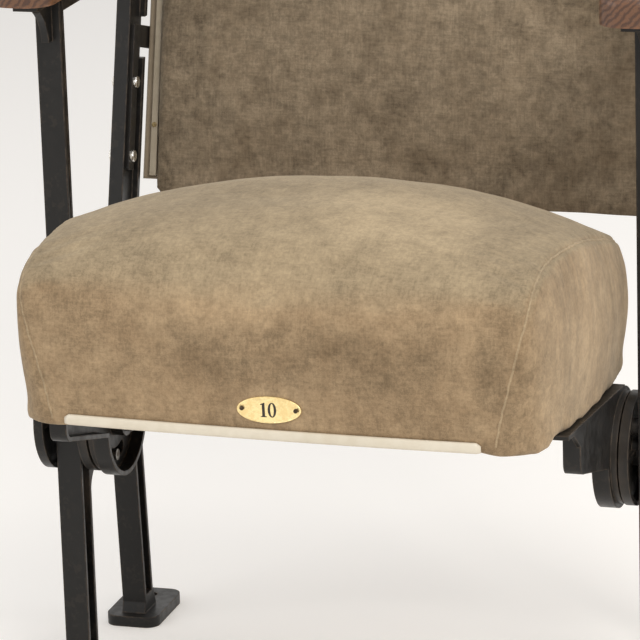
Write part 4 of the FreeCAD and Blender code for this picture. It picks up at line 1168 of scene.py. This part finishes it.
@dataclass
class BackPad:
    """Upholstered pad of the back. Its foot tapers, which leaves room for the seat when it tips."""

    palette: Palette
    lean: float = math.radians(15.0)
    ref_y: float = 197.0
    ref_z: float = 175.0
    half: float = 236.0
    low: float = -22.0
    high: float = 426.0
    board: float = 4.0
    corner: float = 9.0
    foot_taper: float = 0.42
    foot_height: float = 95.0
    foot_hold: float = 0.85
    stuffing: Stuffing = Stuffing(cap=0.006, dent_size=0.11, dent_height=0.0014, dent_shift=8.7)

    def point(self, x: float, n: float, s: float) -> Vector:
        """Point of the frame from the back's own X, n rearwards and s upwards."""
        y = self.ref_y + n * math.cos(self.lean) + s * math.sin(self.lean)
        z = self.ref_z - n * math.sin(self.lean) + s * math.cos(self.lean)
        return on_frame(x, y, z)

    def section(self, s: float) -> list[Vector]:
        """Closed ring of the pad at one height."""
        inset = min(s - self.low, self.high - s)
        depth = smooth_curve([0, 4, 12, 26, 70, 140, 300], [2, 7, 11, 14, 15.5, 15.5, 15.5])(inset)
        crown = smooth_curve([0, 4, 12, 26, 70, 140, 300], [2.5, 8, 12.5, 16.5, 21, 24.5, 25.5])(inset)
        taper = 1.0 - self.foot_taper * rise(s, self.low + self.foot_height, -60.0)
        depth, crown = depth * taper, crown * taper
        half = self.half - smooth_curve([0, 4, 12, 26, 300], [4, 1.5, 0.3, 0, 0])(inset)
        corner = min(self.corner, depth * 0.6)
        points: list[tuple[float, float]] = [(half * k / 12.0, 0.0) for k in range(12)]
        points += [(half, -mix_values(0.0, depth - corner, k / 3.0)) for k in range(4)]
        for k in range(1, 8):
            turn = math.pi / 2.0 * k / 8.0
            points.append((half - corner + corner * math.cos(turn), -depth + corner - corner * math.sin(turn)))
        inner = half - corner
        points += [(inner * (1.0 - k / 16.0), -depth - (crown - depth) * math.sin(math.pi / 2.0 * k / 16.0))
                   for k in range(17)]
        ring = [self.point(x, n - self.board, s) for x, n in points]
        return ring + [self.point(-x, n - self.board, s) for x, n in reversed(points[1:-1])]

    def build(self) -> bpy.types.Object:
        """Builds, stuffs and dresses the pad."""
        edge = [0.0, 1.0, 3.0, 7.0, 12.0, 19.0]
        middle = [mix_values(self.low + 26.0, self.high - 26.0, k / 36.0) for k in range(37)]
        heights = [self.low + k for k in edge] + middle + [self.high - k for k in reversed(edge)]
        form = rings_mesh("back_pad_velvet", [self.section(s) for s in heights])
        pad = new_piece("back_pad_velvet", form, self.palette["back_velvet"])
        back = self.point(0.0, -self.board, 0.0)
        outward = Vector((0.0, -math.cos(self.lean), math.sin(self.lean)))
        upward = Vector((0.0, math.sin(self.lean), math.cos(self.lean)))

        def held(point: Vector) -> float:
            rim = rise((point - back).dot(outward) / MM, 10.0, -8.0)
            foot = self.foot_hold * rise((point - back).dot(upward) / MM, self.low + 55.0, -40.0)
            return max(rim, foot)

        Upholsterer().stuff(pad, held, self.stuffing)
        flat = [vertex.co - outward * min(0.0, (vertex.co - back).dot(outward)) for vertex in pad.data.vertices]
        pad.data.vertices.foreach_set("co", [value for point in flat for value in point])
        shade_smooth(pad.data)
        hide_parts("back_pad")
        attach(pad, Body.FRAME.value)
        return pad


@dataclass
class NumberPlate:
    """Oval brass plate with its numerals, and the moulding below it."""

    palette: Palette
    front_y: float = SEAT_FRONT_Y
    length: float = 54.0
    height: float = 22.5
    rim: float = 0.92                           # share of the plate inside its rolled edge
    dome: float = 0.3
    dent: float = 0.13
    numeral_rise: float = 1.15
    numeral_scale: float = 0.92
    paint: float = 0.12
    slipped: float = 0.5                        # the plate sits this much low, and turned
    askew_by: float = math.radians(1.4)
    trim_foot: float = 76.0
    trim_length: float = 348.0
    trim_height: float = 9.0
    trim_thickness: float = 3.0
    trim_end: float = 2.5
    trim_drop: float = 0.4
    trim_sag: float = 1.2
    trim_roll: float = math.radians(0.55)

    def askew(self, x: float, y: float, z: float) -> Vector:
        """Point of the plate, which is nailed a little askew."""
        cos, sin = math.cos(self.askew_by), math.sin(self.askew_by)
        return on_frame(x * cos - z * sin, y, PLATE_Z - self.slipped + x * sin + z * cos)

    def build_plate(self) -> bpy.types.Object:
        """Domed oval with a rolled edge and hammered dents."""
        rings: list[list[Vector]] = []
        count = 96
        roll = [(1.0, 0.0), (1.0, 0.5), (0.99, 0.85), (0.975, 1.05), (0.955, 1.1), (0.935, 1.0), (self.rim, 0.85)]
        foot = roll[-1][1]
        inward = [1.0 - k / 26.0 for k in range(1, 26)]
        profile = roll + [(self.rim * share, foot + self.dome * (1.0 - share ** 2)) for share in inward]
        for share, height in profile:
            ring = []
            for k in range(count):
                turn = 2.0 * math.pi * k / count
                x, z = self.length / 2.0 * share * math.cos(turn), self.height / 2.0 * share * math.sin(turn)
                depth = self.dent * noise.noise(Vector((x * 0.42, z * 0.42, 2.0))) * ease((0.91 - share) * 12.0)
                ring.append(self.askew(x, self.front_y - height - depth, z))
            rings.append(ring)
        mesh = rings_mesh("number_plate_oval", rings)
        plate = new_piece("number_plate_oval", mesh, self.palette["plate_brass"])
        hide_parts("number_plate")
        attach(plate, Body.SEAT.value)
        return plate

    def build_numerals(self) -> bpy.types.Object:
        """The seat number, one and nought, in a plain serif hand."""
        work = bmesh.new()
        face_y = self.front_y - self.numeral_rise
        front_y, rear_y = face_y - self.paint, face_y + 0.25

        def corner(x: float, z: float, y: float) -> bmesh.types.BMVert:
            return work.verts.new(self.askew(x * self.numeral_scale, y, z * self.numeral_scale))

        one = [(-7.6, -6.5), (-2.2, -6.5), (-2.2, -5.9), (-3.6, -5.6), (-3.6, 6.5), (-4.2, 6.5), (-7.6, 5.1),
               (-7.6, 4.4), (-6.1, 4.7), (-6.1, -5.6), (-7.6, -5.9)]
        front = [corner(x, z, front_y) for x, z in one]
        rear = [corner(x, z, rear_y) for x, z in one]
        work.faces.new(front)
        work.faces.new(list(reversed(rear)))
        for k in range(len(one)):
            j = (k + 1) % len(one)
            work.faces.new((front[k], front[j], rear[j], rear[k]))
        steps = 36
        rings = []
        for y in (front_y, rear_y):
            for half_x, half_z in ((3.9, 6.7), (1.6, 5.8)):
                rings.append([corner(2.9 + half_x * math.cos(2 * math.pi * k / steps),
                                     half_z * math.sin(2 * math.pi * k / steps), y) for k in range(steps)])
        outer_front, inner_front, outer_rear, inner_rear = rings
        for k in range(steps):
            j = (k + 1) % steps
            work.faces.new((outer_front[k], outer_front[j], inner_front[j], inner_front[k]))
            work.faces.new((outer_rear[k], inner_rear[k], inner_rear[j], outer_rear[j]))
            work.faces.new((outer_front[k], outer_rear[k], outer_rear[j], outer_front[j]))
            work.faces.new((inner_front[k], inner_front[j], inner_rear[j], inner_rear[k]))
        bmesh.ops.recalc_face_normals(work, faces=work.faces)
        mesh = bpy.data.meshes.new("plate_numerals")
        work.to_mesh(mesh)
        work.free()
        numerals = new_piece("plate_numerals", mesh, self.palette["plate_ink"])
        shade_smooth(mesh, False)
        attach(numerals, Body.SEAT.value)
        return numerals

    def build_trim(self) -> bpy.types.Object:
        """Half round moulding with rounded ends."""
        stations = 96
        rings = []
        for k in range(stations + 1):
            x = -self.trim_length / 2.0 + self.trim_length * k / stations
            inward = min(1.0, (self.trim_length / 2.0 - abs(x)) / self.trim_end)
            round_off = self.trim_end * (1.0 - math.sqrt(max(0.0, 1.0 - (1.0 - inward) ** 2)))
            sag = self.trim_sag * (1.0 - (2.0 * x / self.trim_length) ** 2)
            tilt = -self.trim_drop - sag - x * math.tan(self.trim_roll)
            top, bottom = self.trim_foot + self.trim_height - round_off, self.trim_foot + 0.3 * round_off
            ring = []
            for step in range(25):
                turn = math.pi * step / 24.0
                bulge = math.sin(turn) ** 0.6
                z = mix_values(bottom, top, 0.5 + 0.5 * math.cos(turn)) + tilt
                ring.append(on_frame(x, self.front_y - (self.trim_thickness - 0.5 * round_off) * bulge, z))
            rings.append(ring)
        trim = new_piece("front_moulding", rings_mesh("front_moulding", rings), self.palette["cream_trim"])
        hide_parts("front_trim")
        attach(trim, Body.SEAT.value)
        return trim


@dataclass
class Studio:
    """Floor, backdrop, lamps and camera."""

    azimuth: float = math.radians(17.0)
    pitch: float = math.radians(16.21)
    roll: float = math.radians(-1.78)
    place: Triple = (976.0, -3279.0, 1103.0)
    lens: float = 236.25
    floor_reach: float = 30.0

    def build_camera(self) -> bpy.types.Object:
        """Camera at the photograph's viewing angle."""
        forward = Vector((-math.sin(self.azimuth) * math.cos(self.pitch),
                          math.cos(self.azimuth) * math.cos(self.pitch), -math.sin(self.pitch)))
        right = Vector((math.cos(self.azimuth), math.sin(self.azimuth), 0.0))
        up = right.cross(forward)
        turned_right = math.cos(self.roll) * right + math.sin(self.roll) * up
        turned_up = math.cos(self.roll) * up - math.sin(self.roll) * right
        data = bpy.data.cameras.new("camera")
        data.lens, data.sensor_width = self.lens, 36.0
        data.clip_start, data.clip_end = 0.1, 50.0
        camera = linked("camera", data)
        frame = Matrix((turned_right, turned_up, -forward)).transposed().to_4x4()
        frame.translation = on_frame(*self.place)
        camera.matrix_world = frame
        bpy.context.scene.camera = camera
        return camera

    def _plane(self, name: str, corners: Sequence[Triple], colour: Colour, lift: Colour) -> bpy.types.Object:
        """Flat stage piece in a plain pale finish, lifted for the camera by an even glow."""
        mesh = bpy.data.meshes.new(name)
        mesh.from_pydata(corners, [], [(0, 1, 2, 3)])
        material = bpy.data.materials.new(name)
        material.use_nodes = True
        graph = Graph(material.node_tree)
        surface = graph.tree.nodes["Principled BSDF"]
        graph.feed(surface.inputs["Base Color"], colour)
        graph.feed(surface.inputs["Roughness"], 0.9)
        glow = graph.add("ShaderNodeEmission", {"Color": lift, "Strength": graph.seen_rays()})
        both = graph.add("ShaderNodeAddShader", {0: surface.outputs[0], 1: glow.outputs[0]})
        graph.tree.links.new(both.outputs[0], graph.tree.nodes["Material Output"].inputs["Surface"])
        mesh.materials.append(material)
        piece = linked(name, mesh)
        return piece

    def build_stage(self) -> None:
        """Pale floor, and a world that shows white to the camera."""
        reach = self.floor_reach
        corners = [(-reach, -reach, 0.0), (reach, -reach, 0.0), (reach, reach, 0.0), (-reach, reach, 0.0)]
        self._plane("studio_floor", corners, (0.86, 0.83, 0.79), (0.26, 0.245, 0.225))
        world = bpy.data.worlds.new("studio")
        bpy.context.scene.world = world
        world.use_nodes = True
        graph = Graph(world.node_tree)
        fill = graph.tree.nodes["Background"]
        graph.feed(fill.inputs["Color"], (0.92, 0.95, 1.0))
        graph.feed(fill.inputs["Strength"], 0.42)
        wall = graph.add("ShaderNodeBackground", {"Color": (0.90, 0.875, 0.85), "Strength": 1.0})
        both = graph.add("ShaderNodeMixShader", {0: graph.seen_rays(), 1: fill.outputs[0], 2: wall.outputs[0]})
        graph.tree.links.new(both.outputs[0], graph.tree.nodes["World Output"].inputs["Surface"])

    @staticmethod
    def _lamp(name: str, place: Triple, aim: Triple, size: float, watts: float,
              colour: Colour = (1.0, 1.0, 1.0)) -> None:
        """Square soft lamp that looks at a point."""
        data = bpy.data.lights.new(name, "AREA")
        data.size, data.energy, data.color = size, watts, colour
        lamp = linked(name, data)
        lamp.location = place
        lamp.rotation_euler = (Vector(aim) - Vector(place)).to_track_quat("-Z", "Y").to_euler()

    def build_lamps(self) -> None:
        """Key from the upper right front, fill from the left, one lamp overhead and one at the right side."""
        self._lamp("key", (1.6, -2.4, 2.6), (0.0, 0.0, 0.45), 1.6, 62.0, (1.0, 0.97, 0.93))
        self._lamp("fill", (-2.4, -2.0, 1.6), (0.0, 0.0, 0.4), 2.2, 26.0)
        self._lamp("overhead", (0.0, 0.6, 3.0), (0.0, 0.0, 0.4), 2.2, 26.0)
        self._lamp("side", (2.8, 0.1, 1.1), (0.2, 0.0, 0.4), 1.2, 16.0)

    def build(self) -> None:
        """Builds the studio."""
        self.build_camera()
        self.build_stage()
        self.build_lamps()
        bpy.context.scene.view_settings.view_transform = "Standard"


def main() -> None:
    """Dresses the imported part."""
    logging.basicConfig(level=logging.INFO, format="%(message)s")
    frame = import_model()
    Studio().build()
    palette = Palette()
    palette.dress_nodes(frame["nodes"], frame["record"])
    seat = SeatCushion(palette, RepeatTrees(palette))
    plate = NumberPlate(palette)
    makers = [seat.build, seat.build_tacks, BackPad(palette).build, plate.build_plate, plate.build_numerals,
              plate.build_trim]
    for make in makers:
        piece = make()
        LOG.info("%s: %d faces", piece.name, len(piece.data.polygons))


if __name__ == "__main__":
    main()
